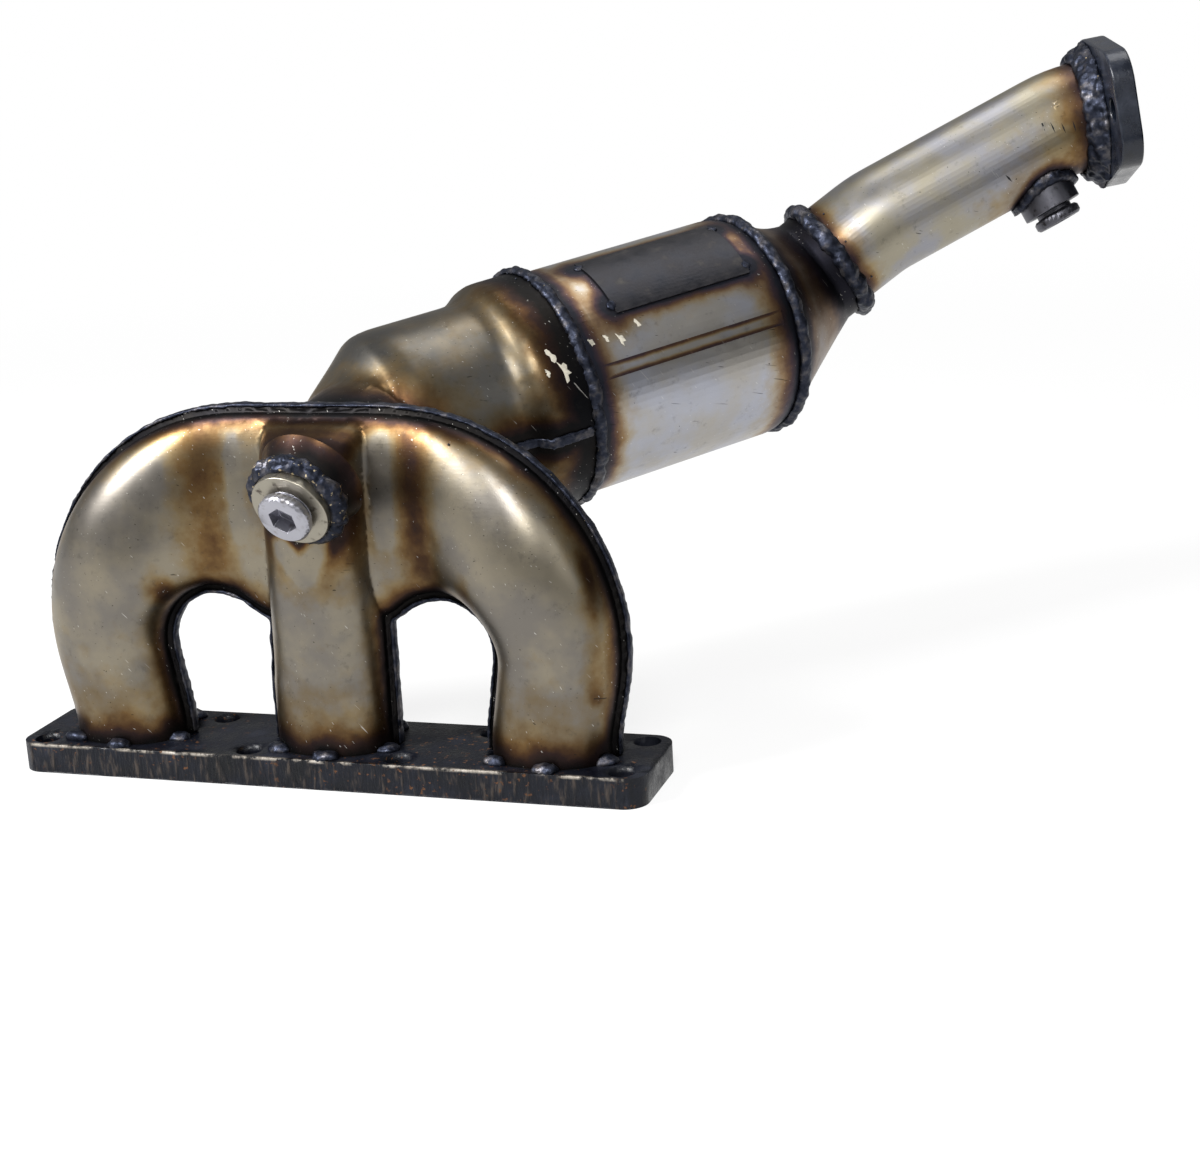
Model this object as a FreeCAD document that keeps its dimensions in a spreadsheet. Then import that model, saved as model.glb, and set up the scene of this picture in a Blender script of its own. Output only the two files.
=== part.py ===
import FreeCAD, Part

import math
import os

import Sketcher
from FreeCAD import Placement, Rotation, Vector

# A three-runner exhaust manifold made as a stamped clamshell, with a close-coupled
# catalytic converter, a bent outlet pipe and a two-bolt outlet flange.
# Frame: origin at the middle of the head flange's sealing face, +X along the flange,
# +Z out of the flange towards the collector, +Y on the converter's side.

doc = FreeCAD.newDocument("catalytic_converter")

# ---------------------------------------------------------------- sizes, mm and degrees
SIZES = [
    # head flange
    ("flange_length", 266, "head flange, along X"),
    ("flange_depth", 50, "head flange, along Y"),
    ("flange_thick", 12, "head flange plate"),
    ("flange_corner", 9, "corner radius of the head flange"),
    ("port_pitch", 91, "from one runner to the next"),
    ("stud_pitch", 64, "studs of one port, along X"),
    ("stud_rows", 34, "from the front row of studs to the back row"),
    ("stud_hole", 11, "stud hole diameter"),
    ("port_clear", 0.1, "gap between a runner end and its port"),
    ("weld_clear", 0.12, "gap under a thin weld strip"),
    # clamshell manifold
    ("sheet_wall", 1.6, "wall of the stamped shells"),
    ("runner_half_x", 24.2, "half width of a runner at the flange"),
    ("runner_half_y", 19.5, "half depth of a runner at the flange"),
    ("runner_inset", 9, "how far a runner end goes into the flange"),
    ("bend_centre_x", 32, "centre of the outer bend, from the middle"),
    ("bend_centre_z", 56.5, "height of that centre"),
    ("bend_radius", 89.5, "radius of the outer bend, to the shell"),
    ("arch_centre_x", 47.5, "centre of the window between two runners"),
    ("arch_centre_z", 51, "height of that centre"),
    ("arch_radius", 24, "radius of the window, to the shell"),
    ("collector_low", 56, "underside of the collector at the middle"),
    ("valley_depth", 10, "front of the collector beside the middle runner"),
    ("crest_depth", 24.5, "front of an outer runner in its bend"),
    ("mid_half_x", 22.5, "half width of the middle runner, higher up"),
    ("mid_front", 30, "front of the middle runner below the sensor boss"),
    ("mid_lean", 3, "sideways lean of the middle runner at its top"),
    ("rear_depth", 21, "back of the collector"),
    ("lip_width", 2, "welding lip round the seam"),
    ("seam_bead", 1.3, "seam weld beyond the lip"),
    ("seam_bead_half", 2.1, "half thickness of the seam weld"),
    # front sensor boss and its plug
    ("boss_x", 8, "middle of the front boss's face"),
    ("boss_y", -42, "middle of the front boss's face"),
    ("boss_z", 116.5, "middle of the front boss's face"),
    ("boss_turn", -7.5, "front boss, turned from straight ahead"),
    ("boss_drop", 26.5, "front boss, turned down"),
    ("boss_radius", 15.6, "outer radius of a sensor boss"),
    ("boss_height", 14, "front boss, along its axis"),
    ("pad_top", 16.5, "radius of the stamped pad under the boss"),
    ("pad_base", 21, "radius of that pad where it leaves the shell"),
    ("pad_depth", 7, "pad, behind the boss's face"),
    ("pad_length", 12, "pad, along its axis"),
    ("thread_radius", 9, "sensor thread"),
    ("head_radius", 10.5, "plug head"),
    ("head_height", 4.5, "plug head"),
    ("head_chamfer", 1, "chamfer on both edges of a plug head"),
    ("neck_radius", 8, "undercut below the plug head"),
    ("neck_height", 1.2, "undercut below the plug head"),
    ("thread_height", 11, "threaded shank of a plug"),
    ("hex_flats", 10, "socket in the plug head, across flats"),
    ("hex_depth", 6, "socket depth"),
    # converter
    ("ring_x", 55.4, "centre of the inlet ring weld"),
    ("ring_y", 107, "centre of the inlet ring weld"),
    ("ring_z", 134.1, "centre of the inlet ring weld"),
    ("can_turn", 46, "can axis, from +X towards +Y"),
    ("can_rise", 8.4, "can axis, above the level"),
    ("can_radius", 48.5, "can, outside"),
    ("can_wall", 1.5, "can wall"),
    ("can_length", 103, "can, from the inlet ring to the outlet ring"),
    ("can_overlap", 12, "can inside the inlet collar"),
    ("can_shoulder", 9, "rounding at the can's outlet end"),
    ("can_drop", 3, "how far that rounding draws the can in"),
    ("mat_thick", 3.2, "support mat round the catalyst brick"),
    ("mat_length", 78, "support mat"),
    ("brick_length", 82, "catalyst brick"),
    ("brick_start", 8, "catalyst brick, after the inlet ring"),
    ("seam_angle", 77, "can seam, round the axis from the top"),
    ("seam_width", 6.4, "can seam weld"),
    ("seam_height", 0.5, "can seam weld above the can"),
    ("seam_start", 2, "can seam weld, after the inlet ring"),
    ("seam_stop", 1, "can seam weld, less than the can's straight length"),
    # inlet shells
    ("inlet_step", 4.5, "inlet shells' outside, in from the can's"),
    ("collar_length", 22, "widened end of the inlet shells"),
    ("flare_length", 4, "from the inlet radius to the collar"),
    ("inlet_length", 80, "shoulder of the inlet shells, before the ring"),
    ("inlet_nose", 22, "end dome beyond the shoulder"),
    ("nose_radius", 21, "radius of the end dome's flat"),
    ("throat_radius", 33, "throat from the collector into the inlet shells"),
    ("throat_x", 2, "middle of the throat at the collector"),
    ("throat_z", 111, "height of the throat at the collector"),
    ("throat_end", 66, "end of the throat on the can's axis, before the ring"),
    ("inlet_shoulder", 10, "rounding of the inlet shells' shoulder"),
    ("lap_angle", 101.5, "inlet shells' front seam, round the axis from the top"),
    # data plate
    ("plate_start", 23, "data plate, after the inlet ring"),
    ("plate_length", 65, "data plate, along the can"),
    ("plate_from", 9, "data plate's upper edge, round the axis from the top"),
    ("plate_to", 51, "data plate's lower edge, round the axis from the top"),
    ("plate_thick", 0.8, "data plate"),
    ("tack_radius", 2.6, "tack weld"),
    ("tack_inset", 5, "tack weld, in from the plate's corner, degrees round the can"),
    # outlet cone and pipe
    ("cone_straight", 3, "straight rim of the cone"),
    ("cone_wall", 1.5, "cone wall"),
    ("neck_ahead", 42.5, "neck plane, beyond the outlet ring"),
    ("neck_up", 15.7, "neck, above the can's axis"),
    ("neck_side", 3.5, "neck, beside the can's axis"),
    ("neck_length", 9, "straight neck that takes the pipe"),
    ("pipe_turn", 28.5, "pipe's upright plane, from +X towards +Y"),
    ("pipe_radius", 24, "pipe, outside"),
    ("pipe_wall", 1.5, "pipe wall"),
    ("pipe_rise_start", 33.4, "first run above the level"),
    ("pipe_rise", 24, "main run above the level"),
    ("pipe_turn_end", 18, "last run and outlet flange, from +X towards +Y"),
    ("pipe_rise_end", 8, "last run and outlet flange, above the level"),
    ("pipe_start", 31, "first run"),
    ("pipe_main", 97.5, "main run"),
    ("pipe_end", 12.5, "last run"),
    ("pipe_inset", 1, "end of the pipe, back from the flange's face"),
    ("pipe_bend", 60, "bend radius of the pipe's middle line"),
    # outlet flange
    ("outlet_half_length", 49, "outlet flange, from the middle to an end"),
    ("outlet_half_width", 33, "outlet flange, half width"),
    ("outlet_corner", 16, "outlet flange, corner radius"),
    ("outlet_half_end", 26, "outlet flange, half width at an end"),
    ("outlet_thick", 9.5, "outlet flange plate"),
    ("outlet_roll", -5.5, "outlet flange, turned about its axis"),
    ("outlet_pitch", 79, "bolt holes, hole to hole"),
    ("outlet_hole", 10.5, "bolt hole diameter"),
    ("outlet_fillet", 7, "fillet weld at the flange"),
    ("outlet_toe", 1, "toe of that fillet weld"),
    # rear sensor boss
    ("rear_boss_along", 73, "rear boss, along the pipe's main run"),
    ("rear_boss_radius", 13, "rear boss at its face"),
    ("rear_boss_reach", 32.5, "rear boss face, from the pipe's middle line"),
    ("rear_boss_foot", 18, "rear boss's inner end, from the pipe's middle line"),
    ("rear_boss_roll", -18, "rear boss, turned round the pipe from straight down"),
    ("rear_boss_gap", 2, "plug head stands off the rear boss"),
    # ring welds
    ("ring_bead", 3, "bead radius of a can ring weld"),
    ("inlet_bead_ahead", 0.5, "middle of the inlet ring weld, beyond the collar"),
    ("inlet_bead_out", 0.6, "middle of the inlet ring weld, out from the can"),
    ("outlet_bead_ahead", 0.3, "middle of the outlet ring weld, beyond the can"),
    ("outlet_bead_out", 0.8, "middle of the outlet ring weld, out from the can's mouth"),
    ("neck_bead", 3.6, "bead radius of the neck weld"),
    ("boss_bead", 3.6, "fillet weld of a sensor boss"),
    ("boss_bead_out", 0.5, "middle of that weld, out from the boss"),
    ("joint_bead", 3, "fillet weld of a saddle joint"),
    ("runner_bead", 3.8, "tack weld at the foot of a runner"),
    ("plate_bead", 1.3, "tack weld of the data plate, height"),
]


class Size:
    """A number of the sheet, or one worked out from it, and the expression that gives it."""

    def __init__(self, value, text):
        self.value = float(value)
        self.text = text

    def combine(self, sign, other):
        other = other if isinstance(other, Size) else Size(other, str(other))
        value = {
            "+": lambda: self.value + other.value,
            "-": lambda: self.value - other.value,
            "*": lambda: self.value * other.value,
            "/": lambda: self.value / other.value,
        }[sign]()
        return Size(value, f"({self.text} {sign} {other.text})")

    def __add__(self, other):
        return self.combine("+", other)

    def __sub__(self, other):
        return self.combine("-", other)

    def __mul__(self, other):
        return self.combine("*", other)

    def __truediv__(self, other):
        return self.combine("/", other)

    def __neg__(self):
        return self * -1

    def __float__(self):
        return self.value


class Sheet:
    """The spreadsheet of driving sizes, one attribute for each alias."""

    def __init__(self, rows):
        self.table = doc.addObject("Spreadsheet::Sheet", "Sizes")
        for row, (alias, value, meaning) in enumerate(rows, start=1):
            self.table.set(f"A{row}", meaning)
            self.table.set(f"B{row}", str(value))
            self.table.setAlias(f"B{row}", alias)
        doc.recompute()
        for alias, _, _ in rows:
            setattr(self, alias, Size(getattr(self.table, alias), f"Sizes.{alias}"))


size = Sheet(SIZES)
ORIGIN = Vector(0, 0, 0)
X_AXIS = Vector(1, 0, 0)
Y_AXIS = Vector(0, 1, 0)
Z_AXIS = Vector(0, 0, 1)
FAR = 600.0  # longer than the part, for the solids that only cut
LEVEL = 1e-9  # a distance that counts as none


# ---------------------------------------------------------------- document helpers
def bind(item, **sizes):
    """Ties an object's properties to the sheet."""
    for name, value in sizes.items():
        item.setExpression(name, value.text)
    return item


def primitive(kind, name, placement=Placement(), **sizes):
    item = doc.addObject(f"Part::{kind}", name)
    item.Placement = placement
    return bind(item, **sizes)


def solid_feature(name, shape, placement=None):
    item = doc.addObject("Part::Feature", name)
    item.Shape = shape
    if placement is not None:
        item.Placement = placement
    return item


def cut(name, base, tool):
    item = doc.addObject("Part::Cut", name)
    item.Base = base
    item.Tool = tool
    return item


def fuse(name, *items):
    item = doc.addObject("Part::MultiFuse", name)
    item.Shapes = list(items)
    return item


def new_body(name, placement=Placement()):
    body = doc.addObject("PartDesign::Body", name)
    body.Placement = placement
    return body


def new_sketch(body, name, role):
    sketch = body.newObject("Sketcher::SketchObject", name)
    plane = next(item for item in body.Origin.OriginFeatures if item.Role == role)
    sketch.AttachmentSupport = [(plane, "")]
    sketch.MapMode = "FlatFace"
    return sketch


def sketch_place(sketch, geometry, point, across, along):
    """Fixes one point of a sketch at (across, along) from the sketch's origin."""
    for kind, value in (("DistanceX", across), ("DistanceY", along)):
        if abs(float(value)) < LEVEL:
            axis = -2 if kind == "DistanceX" else -1
            sketch.addConstraint(Sketcher.Constraint("PointOnObject", geometry, point, axis))
        else:
            number = sketch.addConstraint(
                Sketcher.Constraint(kind, -1, 1, geometry, point, float(value))
            )
            if isinstance(value, Size):
                sketch.setExpression(f"Constraints[{number}]", value.text)


def sketch_polygon(sketch, corners):
    """A closed outline of straight lines through corners, each tied to the sheet."""
    spots = [Vector(float(across), float(along), 0) for across, along in corners]
    lines = []
    for first, second in zip(spots, spots[1:] + spots[:1]):
        lines.append(sketch.addGeometry(Part.LineSegment(first, second)))
    for line, following in zip(lines, lines[1:] + lines[:1]):
        sketch.addConstraint(Sketcher.Constraint("Coincident", line, 2, following, 1))
    for line, (across, along) in zip(lines, corners):
        sketch_place(sketch, line, 1, across, along)


def sketch_circle(sketch, across, along, radius):
    middle = Vector(float(across), float(along), 0)
    circle = sketch.addGeometry(Part.Circle(middle, Z_AXIS, float(radius)))
    sketch_place(sketch, circle, 3, across, along)
    number = sketch.addConstraint(Sketcher.Constraint("Radius", circle, float(radius)))
    sketch.setExpression(f"Constraints[{number}]", radius.text)


def pad(body, sketch, length):
    item = body.newObject("PartDesign::Pad", sketch.Name + "Pad")
    item.Profile = sketch
    return bind(item, Length=length)


def pocket(body, sketch, length, reverse=False):
    item = body.newObject("PartDesign::Pocket", sketch.Name + "Pocket")
    item.Profile = sketch
    item.Reversed = reverse
    return bind(item, Length=length)


def turned(name, corners, placement=Placement()):
    """A body turned about its own Z axis from (radius, height) corners."""
    body = new_body(name, placement)
    sketch = new_sketch(body, name + "Profile", "XZ_Plane")
    sketch_polygon(sketch, corners)
    revolution = body.newObject("PartDesign::Revolution", name + "Turn")
    revolution.Profile = sketch
    revolution.ReferenceAxis = (sketch, ["V_Axis"])
    revolution.Angle = 360
    return body


# ---------------------------------------------------------------- frames of the object
def direction(turn, rise):
    """The unit vector turned from +X towards +Y, then raised from the level."""
    across = math.cos(math.radians(float(rise)))
    return Vector(
        across * math.cos(math.radians(float(turn))),
        across * math.sin(math.radians(float(turn))),
        math.sin(math.radians(float(rise))),
    )


def frame_along(base, axis):
    """A frame with Z along axis and X as near to straight up as it can be."""
    upward = Z_AXIS - axis * Z_AXIS.dot(axis)
    upward.normalize()
    return Placement(base, Rotation(upward, axis.cross(upward), axis, "ZXY"))


can_axis = direction(size.can_turn, size.can_rise)
ring_centre = Vector(float(size.ring_x), float(size.ring_y), float(size.ring_z))
can_frame = frame_along(ring_centre, can_axis)
can_up = can_frame.Rotation.multVec(X_AXIS)
can_end = ring_centre + can_axis * float(size.can_length)

neck_axis = direction(size.pipe_turn, size.pipe_rise_start)
main_axis = direction(size.pipe_turn, size.pipe_rise)
outlet_axis = direction(size.pipe_turn_end, size.pipe_rise_end)
can_side = can_frame.Rotation.multVec(Y_AXIS)
neck_point = (can_end + can_axis * float(size.neck_ahead) + can_up * float(size.neck_up)
              + can_side * float(size.neck_side))
bend_one = neck_point + neck_axis * float(size.pipe_start)
bend_two = bend_one + main_axis * float(size.pipe_main)
outlet_point = bend_two + outlet_axis * float(size.pipe_end)

boss_axis = direction(size.boss_turn - 90, -size.boss_drop)
boss_face = Vector(float(size.boss_x), float(size.boss_y), float(size.boss_z))
boss_frame = frame_along(boss_face, boss_axis)


# ---------------------------------------------------------------- clamshell manifold
RING_POLES = 28  # poles round a runner's section
ROUNDNESS = 2.35  # 2 is an ellipse, more is squarer
BEND_STEPS = 9  # sections round the outer bend
BEND_START = -8  # where the bend's sections start and end, degrees above +X
BEND_END = 86
BEND_RISE = 2.5  # how soon the depth at the foot turns into the depth of the bend
BEND_FALL = 1.5  # how late the bend sinks to the valley
FOOT_SHARES = (0, 0.2, 0.45, 0.7, 1)  # heights of a foot's sections
# over a window: the angle round it, and the share of the bend's centre reached above it
OVER_WINDOW = ((106, 0.74), (126, 0.48), (146, 0.22))
# middle runner up to the boss: height, narrowing, lean and swelling, as shares
MIDDLE_RISE = ((0.25, 0, 0.2, 0.1), (0.5, 0.5, 0.5, 0.4), (0.75, 1, 0.8, 0.8), (1, 1, 1, 1))
# middle runner above the boss: height and width, and how far it sinks to the valley
MIDDLE_CROWN = ((0.4, 1, 0), (0.7, 1, 0.2), (0.88, 0.97, 0.6))
# its closed top, inside the collector: height, width, and depth as a share of the valley's
MIDDLE_TOP = ((0.97, 0.9, 0.7), (1, 0.8, 0.3))
MIDDLE_REAR = 0.9  # back of the middle runner, as a share of its half depth at the flange


def oval(middle, half_axis, front, back):
    """Poles of a rounded section: half_axis lies in the seam plane, front and back across it."""
    poles = []
    for index in range(RING_POLES):
        angle = 2 * math.pi * index / RING_POLES
        along = math.copysign(abs(math.cos(angle)) ** (2 / ROUNDNESS), math.cos(angle))
        across = math.copysign(abs(math.sin(angle)) ** (2 / ROUNDNESS), math.sin(angle))
        depth = front if across < 0 else back
        poles.append(middle + half_axis * along + Y_AXIS * (across * depth))
    return poles


def section(outer, inner, front, back, grow):
    """The oval between an outer and an inner point of the seam, grown all round."""
    middle = (outer + inner) * 0.5
    half = (outer - inner) * 0.5
    reach = half.Length
    return oval(middle, half * ((reach + grow) / reach), front + grow, back + grow)


def skinned(sections):
    """A closed solid under one smooth surface that follows a row of sections."""
    poles = [list(row) for row in zip(*sections)]
    spans = len(sections) - 3
    surface = Part.BSplineSurface()
    surface.buildFromPolesMultsKnots(
        poles, [1] * (RING_POLES + 1), [4] + [1] * (spans - 1) + [4],
        list(range(RING_POLES + 1)), list(range(spans + 1)), True, False, 3, 3)
    skin = surface.toShape()
    ends = [Part.Face(Part.Wire(surface.vIso(spot).toShape())) for spot in (0, spans)]
    solid = Part.Solid(Part.Shell([skin] + ends))
    if solid.Volume < 0:
        solid.reverse()
    return solid


def on_arc(centre_x, centre_z, radius, angle):
    angle = math.radians(angle)
    return Vector(centre_x + radius * math.cos(angle), 0, centre_z + radius * math.sin(angle))


def blend(first, second, share):
    return first + (second - first) * share


def foot_sections(port_x, bottom, grow):
    """The straight foot of a runner, from inside its port to just above the flange."""
    half_x = float(size.runner_half_x)
    half_y = float(size.runner_half_y)
    high = float(size.flange_thick) + half_y / 2
    rows = []
    for share in FOOT_SHARES:
        height = blend(bottom, high, share)
        rows.append(section(Vector(port_x + half_x, 0, height), Vector(port_x - half_x, 0, height),
                            half_y, half_y, grow))
    return rows


def outer_runners(grow, bottom):
    """Both outer runners in one sweep: up from a port, over the collector and down again."""
    port = float(size.port_pitch)
    half_y = float(size.runner_half_y)
    crest = float(size.crest_depth)
    valley = float(size.valley_depth)
    rear = float(size.rear_depth)
    low = float(size.collector_low)
    top = float(size.bend_centre_z) + float(size.bend_radius)
    right = []
    for step in range(BEND_STEPS + 1):
        share = step / BEND_STEPS
        angle = blend(BEND_START, BEND_END, share)
        outer = on_arc(float(size.bend_centre_x), float(size.bend_centre_z),
                       float(size.bend_radius), angle)
        inner = on_arc(float(size.arch_centre_x), float(size.arch_centre_z),
                       float(size.arch_radius), angle)
        rise = min(1, BEND_RISE * share)
        fall = max(0, 2 * share - 1)
        front = blend(blend(half_y, crest, rise), valley, fall ** BEND_FALL)
        right.append(section(outer, inner, front, blend(half_y, rear, rise), grow))
    for angle, share in OVER_WINDOW:
        outer = Vector(float(size.bend_centre_x) * share, 0, top)
        inner = on_arc(float(size.arch_centre_x), float(size.arch_centre_z),
                       float(size.arch_radius), angle)
        right.append(section(outer, inner, valley, rear, grow))
    middle = section(Vector(0, 0, top), Vector(0, 0, low), valley, rear, grow)
    right = foot_sections(port, bottom, grow) + right
    left = [[Vector(-pole.x, pole.y, pole.z) for pole in row] for row in reversed(right)]
    return skinned(right + [middle] + left)


def middle_runner(grow, bottom):
    """The middle runner, which stands proud of the collector below the sensor boss."""
    half_x = float(size.runner_half_x)
    half_y = float(size.runner_half_y)
    mid_x = float(size.mid_half_x)
    lean = float(size.mid_lean)
    front = float(size.mid_front)
    valley = float(size.valley_depth)
    low = float(size.flange_thick) + half_y / 2
    top = float(size.bend_centre_z) + float(size.bend_radius) - lean
    boss = float(size.boss_z)
    levels = [(blend(low, boss, rise), blend(half_x, mid_x, narrowing), lean * leaning,
               blend(half_y, front, swelling))
              for rise, narrowing, leaning, swelling in MIDDLE_RISE]
    levels += [(blend(boss, top, rise), mid_x * width, lean, blend(front, valley, sinking))
               for rise, width, sinking in MIDDLE_CROWN]
    levels += [(blend(boss, top, rise), mid_x * width, lean, valley * depth)
               for rise, width, depth in MIDDLE_TOP]
    rows = foot_sections(0, bottom, grow)
    for height, width, centre, depth in levels:
        rows.append(section(Vector(centre + width, 0, height), Vector(centre - width, 0, height),
                            depth, half_y * MIDDLE_REAR, grow))
    return skinned(rows)


def manifold_solid(grow, bottom):
    return outer_runners(grow, bottom).fuse(middle_runner(grow, bottom))


def slab(low_y, high_y, low_z=0.0):
    box = Part.makeBox(FAR, high_y - low_y, FAR)
    box.translate(Vector(-FAR / 2, low_y, low_z))
    return box


def placed(shape, placement):
    shape.Placement = placement
    return shape


def rod(radius, start, end):
    """A cylinder between two points."""
    along = end - start
    return Part.makeCylinder(radius, along.Length, start, along)


wall = float(size.sheet_wall)
lip = float(size.lip_width)
plate_top = float(size.flange_thick)
runner_end = plate_top - float(size.runner_inset)
tool_end = runner_end - float(size.runner_inset)
pad_length = float(size.pad_length)
pad_low = Placement(Vector(0, 0, -pad_length - float(size.pad_depth)), Rotation())
front_side = slab(-FAR / 2, 0, -FAR / 2)
rear_side = slab(0, FAR / 2, -FAR / 2)

boss_pad = placed(Part.makeCone(float(size.pad_base), float(size.pad_top), pad_length),
                  boss_frame.multiply(pad_low)).common(front_side)
pad_hollow = placed(Part.makeCone(float(size.pad_base) - wall, float(size.pad_top) - wall,
                                  pad_length - wall),
                    boss_frame.multiply(pad_low)).common(front_side)
manifold_outside = manifold_solid(0, runner_end).fuse(boss_pad)
manifold_inside = manifold_solid(-wall, tool_end).fuse(pad_hollow)
lip_outside = manifold_solid(lip, runner_end)
lips = lip_outside.common(slab(-wall, wall, plate_top))
clamshell = manifold_outside.fuse(lips).cut(manifold_inside)

throat_start = Vector(float(size.throat_x), 0, float(size.throat_z))
throat_target = ring_centre - can_axis * float(size.throat_end)
throat_outside = rod(float(size.throat_radius), throat_start, throat_target)
throat_inside = rod(float(size.throat_radius) - wall, throat_start, throat_target)
boss_hole = placed(Part.makeCylinder(float(size.boss_radius), pad_length * 2),
                   boss_frame.multiply(Placement(Vector(0, 0, -pad_length), Rotation())))

solid_feature("manifold_front_shell", clamshell.common(front_side).cut(boss_hole))
solid_feature("manifold_rear_shell", clamshell.common(rear_side).cut(throat_inside))

# the welds that close the clamshell's seam, round the outside and inside each window
bead_half = float(size.seam_bead_half)
seam_beads = manifold_solid(lip + float(size.seam_bead), runner_end)
seam_beads = seam_beads.common(slab(-bead_half, bead_half, plate_top)).cut(lip_outside)
for bead in seam_beads.Solids:
    middle_x = bead.CenterOfMass.x
    window = float(size.port_pitch) / 4
    if abs(middle_x) < window:
        solid_feature("outer_seam_weld", bead)
    elif middle_x < 0:
        solid_feature("left_window_seam_weld", bead)
    else:
        solid_feature("right_window_seam_weld", bead)


# ---------------------------------------------------------------- head flange
flange_plate = new_body("flange_plate")
sketch = new_sketch(flange_plate, "FlangeOutline", "XY_Plane")
half_long = size.flange_length / 2
half_deep = size.flange_depth / 2
sketch_polygon(sketch, [(-half_long, -half_deep), (half_long, -half_deep),
                        (half_long, half_deep), (-half_long, half_deep)])
plate_pad = pad(flange_plate, sketch, size.flange_thick)
doc.recompute()
corner_edges = [f"Edge{number}" for number, edge in enumerate(plate_pad.Shape.Edges, start=1)
                if edge.BoundBox.ZLength > plate_top / 2]
corners = flange_plate.newObject("PartDesign::Fillet", "FlangeCorners")
corners.Base = (plate_pad, corner_edges)
bind(corners, Radius=size.flange_corner)
sketch = new_sketch(flange_plate, "StudHoles", "XY_Plane")
front_row = -size.stud_rows / 2
back_row = size.stud_rows / 2
near_stud = size.stud_pitch / 2
inner_stud = size.port_pitch - near_stud
outer_stud = size.port_pitch + near_stud
for across, along in ((-outer_stud, front_row), (-near_stud, front_row),
                      (near_stud, front_row), (outer_stud, front_row),
                      (-outer_stud, back_row), (-inner_stud, back_row),
                      (inner_stud, back_row), (outer_stud, back_row)):
    sketch_circle(sketch, across, along, size.stud_hole / 2)
pocket(flange_plate, sketch, size.flange_thick, reverse=True)

port_tools = []
for port_x in (-float(size.port_pitch), 0, float(size.port_pitch)):
    rows = foot_sections(port_x, -plate_top, float(size.port_clear))
    port_tools.append(skinned(rows))
ports = solid_feature("flange_ports", Part.makeCompound(port_tools))
cut("head_flange", flange_plate, ports)

# tack welds where the runners enter the flange: place along the runner, and front or back
TACKS = ((-0.8, -1), (0.12, -1), (0.96, -1), (-0.6, 1), (0.1, 1), (0.7, 1))
TACK_STRETCH = (1.4, 1, 0.8)
TACK_OUT = 0.4  # a tack's centre outside the runner, as a share of its radius
runner_bead = float(size.runner_bead)
for runner, port_x in (("left", -float(size.port_pitch)), ("middle", 0.0),
                       ("right", float(size.port_pitch))):
    blobs = []
    for share, side in TACKS:
        reach = (1 - abs(share) ** ROUNDNESS) ** (1 / ROUNDNESS)
        blob = Part.makeSphere(runner_bead)
        stretch = FreeCAD.Matrix()
        stretch.scale(*TACK_STRETCH)
        blob = blob.transformGeometry(stretch)
        blob.translate(Vector(port_x + share * float(size.runner_half_x),
                              side * (reach * float(size.runner_half_y) + TACK_OUT * runner_bead),
                              plate_top))
        blobs.append(blob)
    blobs = Part.makeCompound([blob.common(slab(-FAR / 2, FAR / 2, plate_top))
                               .cut(manifold_outside).cut(lips).cut(seam_beads)
                               for blob in blobs])
    solid_feature(f"{runner}_runner_tack_welds", blobs)


# ---------------------------------------------------------------- sensor bosses and plugs
def boss(name, radius, height, placement):
    """A threaded boss whose face is at the frame's origin."""
    return turned(name, [(size.thread_radius, -height), (radius, -height), (radius, 0),
                         (size.thread_radius, 0)], placement)


def plug(name, gap, placement):
    """A blanking plug with a socket, its head held off the boss by a gap."""
    top = gap + size.head_height
    chamfered = size.head_radius - size.head_chamfer
    body = turned(name, [
        (0, -size.thread_height), (size.thread_radius, -size.thread_height),
        (size.thread_radius, 0), (size.neck_radius, 0), (size.neck_radius, gap),
        (chamfered, gap), (size.head_radius, gap + size.head_chamfer),
        (size.head_radius, top - size.head_chamfer), (chamfered, top), (0, top),
    ], placement)
    socket = new_sketch(body, name + "Socket", "XY_Plane")
    corner = size.hex_flats / math.sqrt(3)
    half_flat = size.hex_flats / 2
    sketch_polygon(socket, [(corner, 0), (corner / 2, half_flat), (-corner / 2, half_flat),
                            (-corner, 0), (-corner / 2, -half_flat), (corner / 2, -half_flat)])
    hole = pocket(body, socket, size.hex_depth * 2, reverse=True)
    bind(socket, **{".AttachmentOffset.Base.z": top - size.hex_depth})
    return hole


boss("front_sensor_boss", size.boss_radius, size.boss_height, boss_frame)
plug("front_sensor_plug", size.neck_height, boss_frame)
pad_plane = Vector(0, 0, -float(size.pad_depth))
bead = placed(Part.makeTorus(float(size.boss_radius + size.boss_bead_out), float(size.boss_bead)),
              boss_frame.multiply(Placement(pad_plane, Rotation())))
solid_feature("front_boss_weld", bead.cut(manifold_outside).cut(boss_hole))

# ---------------------------------------------------------------- inlet shells
collar = size.can_radius + size.sheet_wall
SHOULDER_ARC = 60  # how much of a quarter turn the shoulder's rounding takes, degrees
SHOULDER_STEPS = 4


def inlet_profile(grow):
    """Corners of the inlet shells' outline, radius and distance along the can's axis."""
    nose_end = -(float(size.inlet_length) + float(size.inlet_nose)) - grow
    radius = float(size.can_radius - size.inlet_step) + grow
    turn = float(size.inlet_shoulder)
    start = -float(size.inlet_length) - grow
    corners = [(0, nose_end), (float(size.nose_radius) + grow, nose_end)]
    for step in range(SHOULDER_STEPS + 1):
        angle = math.radians(SHOULDER_ARC * (1 - step / SHOULDER_STEPS))
        corners.append((radius - turn + turn * math.cos(angle), start + turn
                        - turn * math.sin(angle)))
    corners += [(radius, -float(size.collar_length) - float(size.flare_length)),
                (float(collar) + grow, -float(size.collar_length)), (float(collar) + grow, 0),
                (0, 0)]
    return corners


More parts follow.
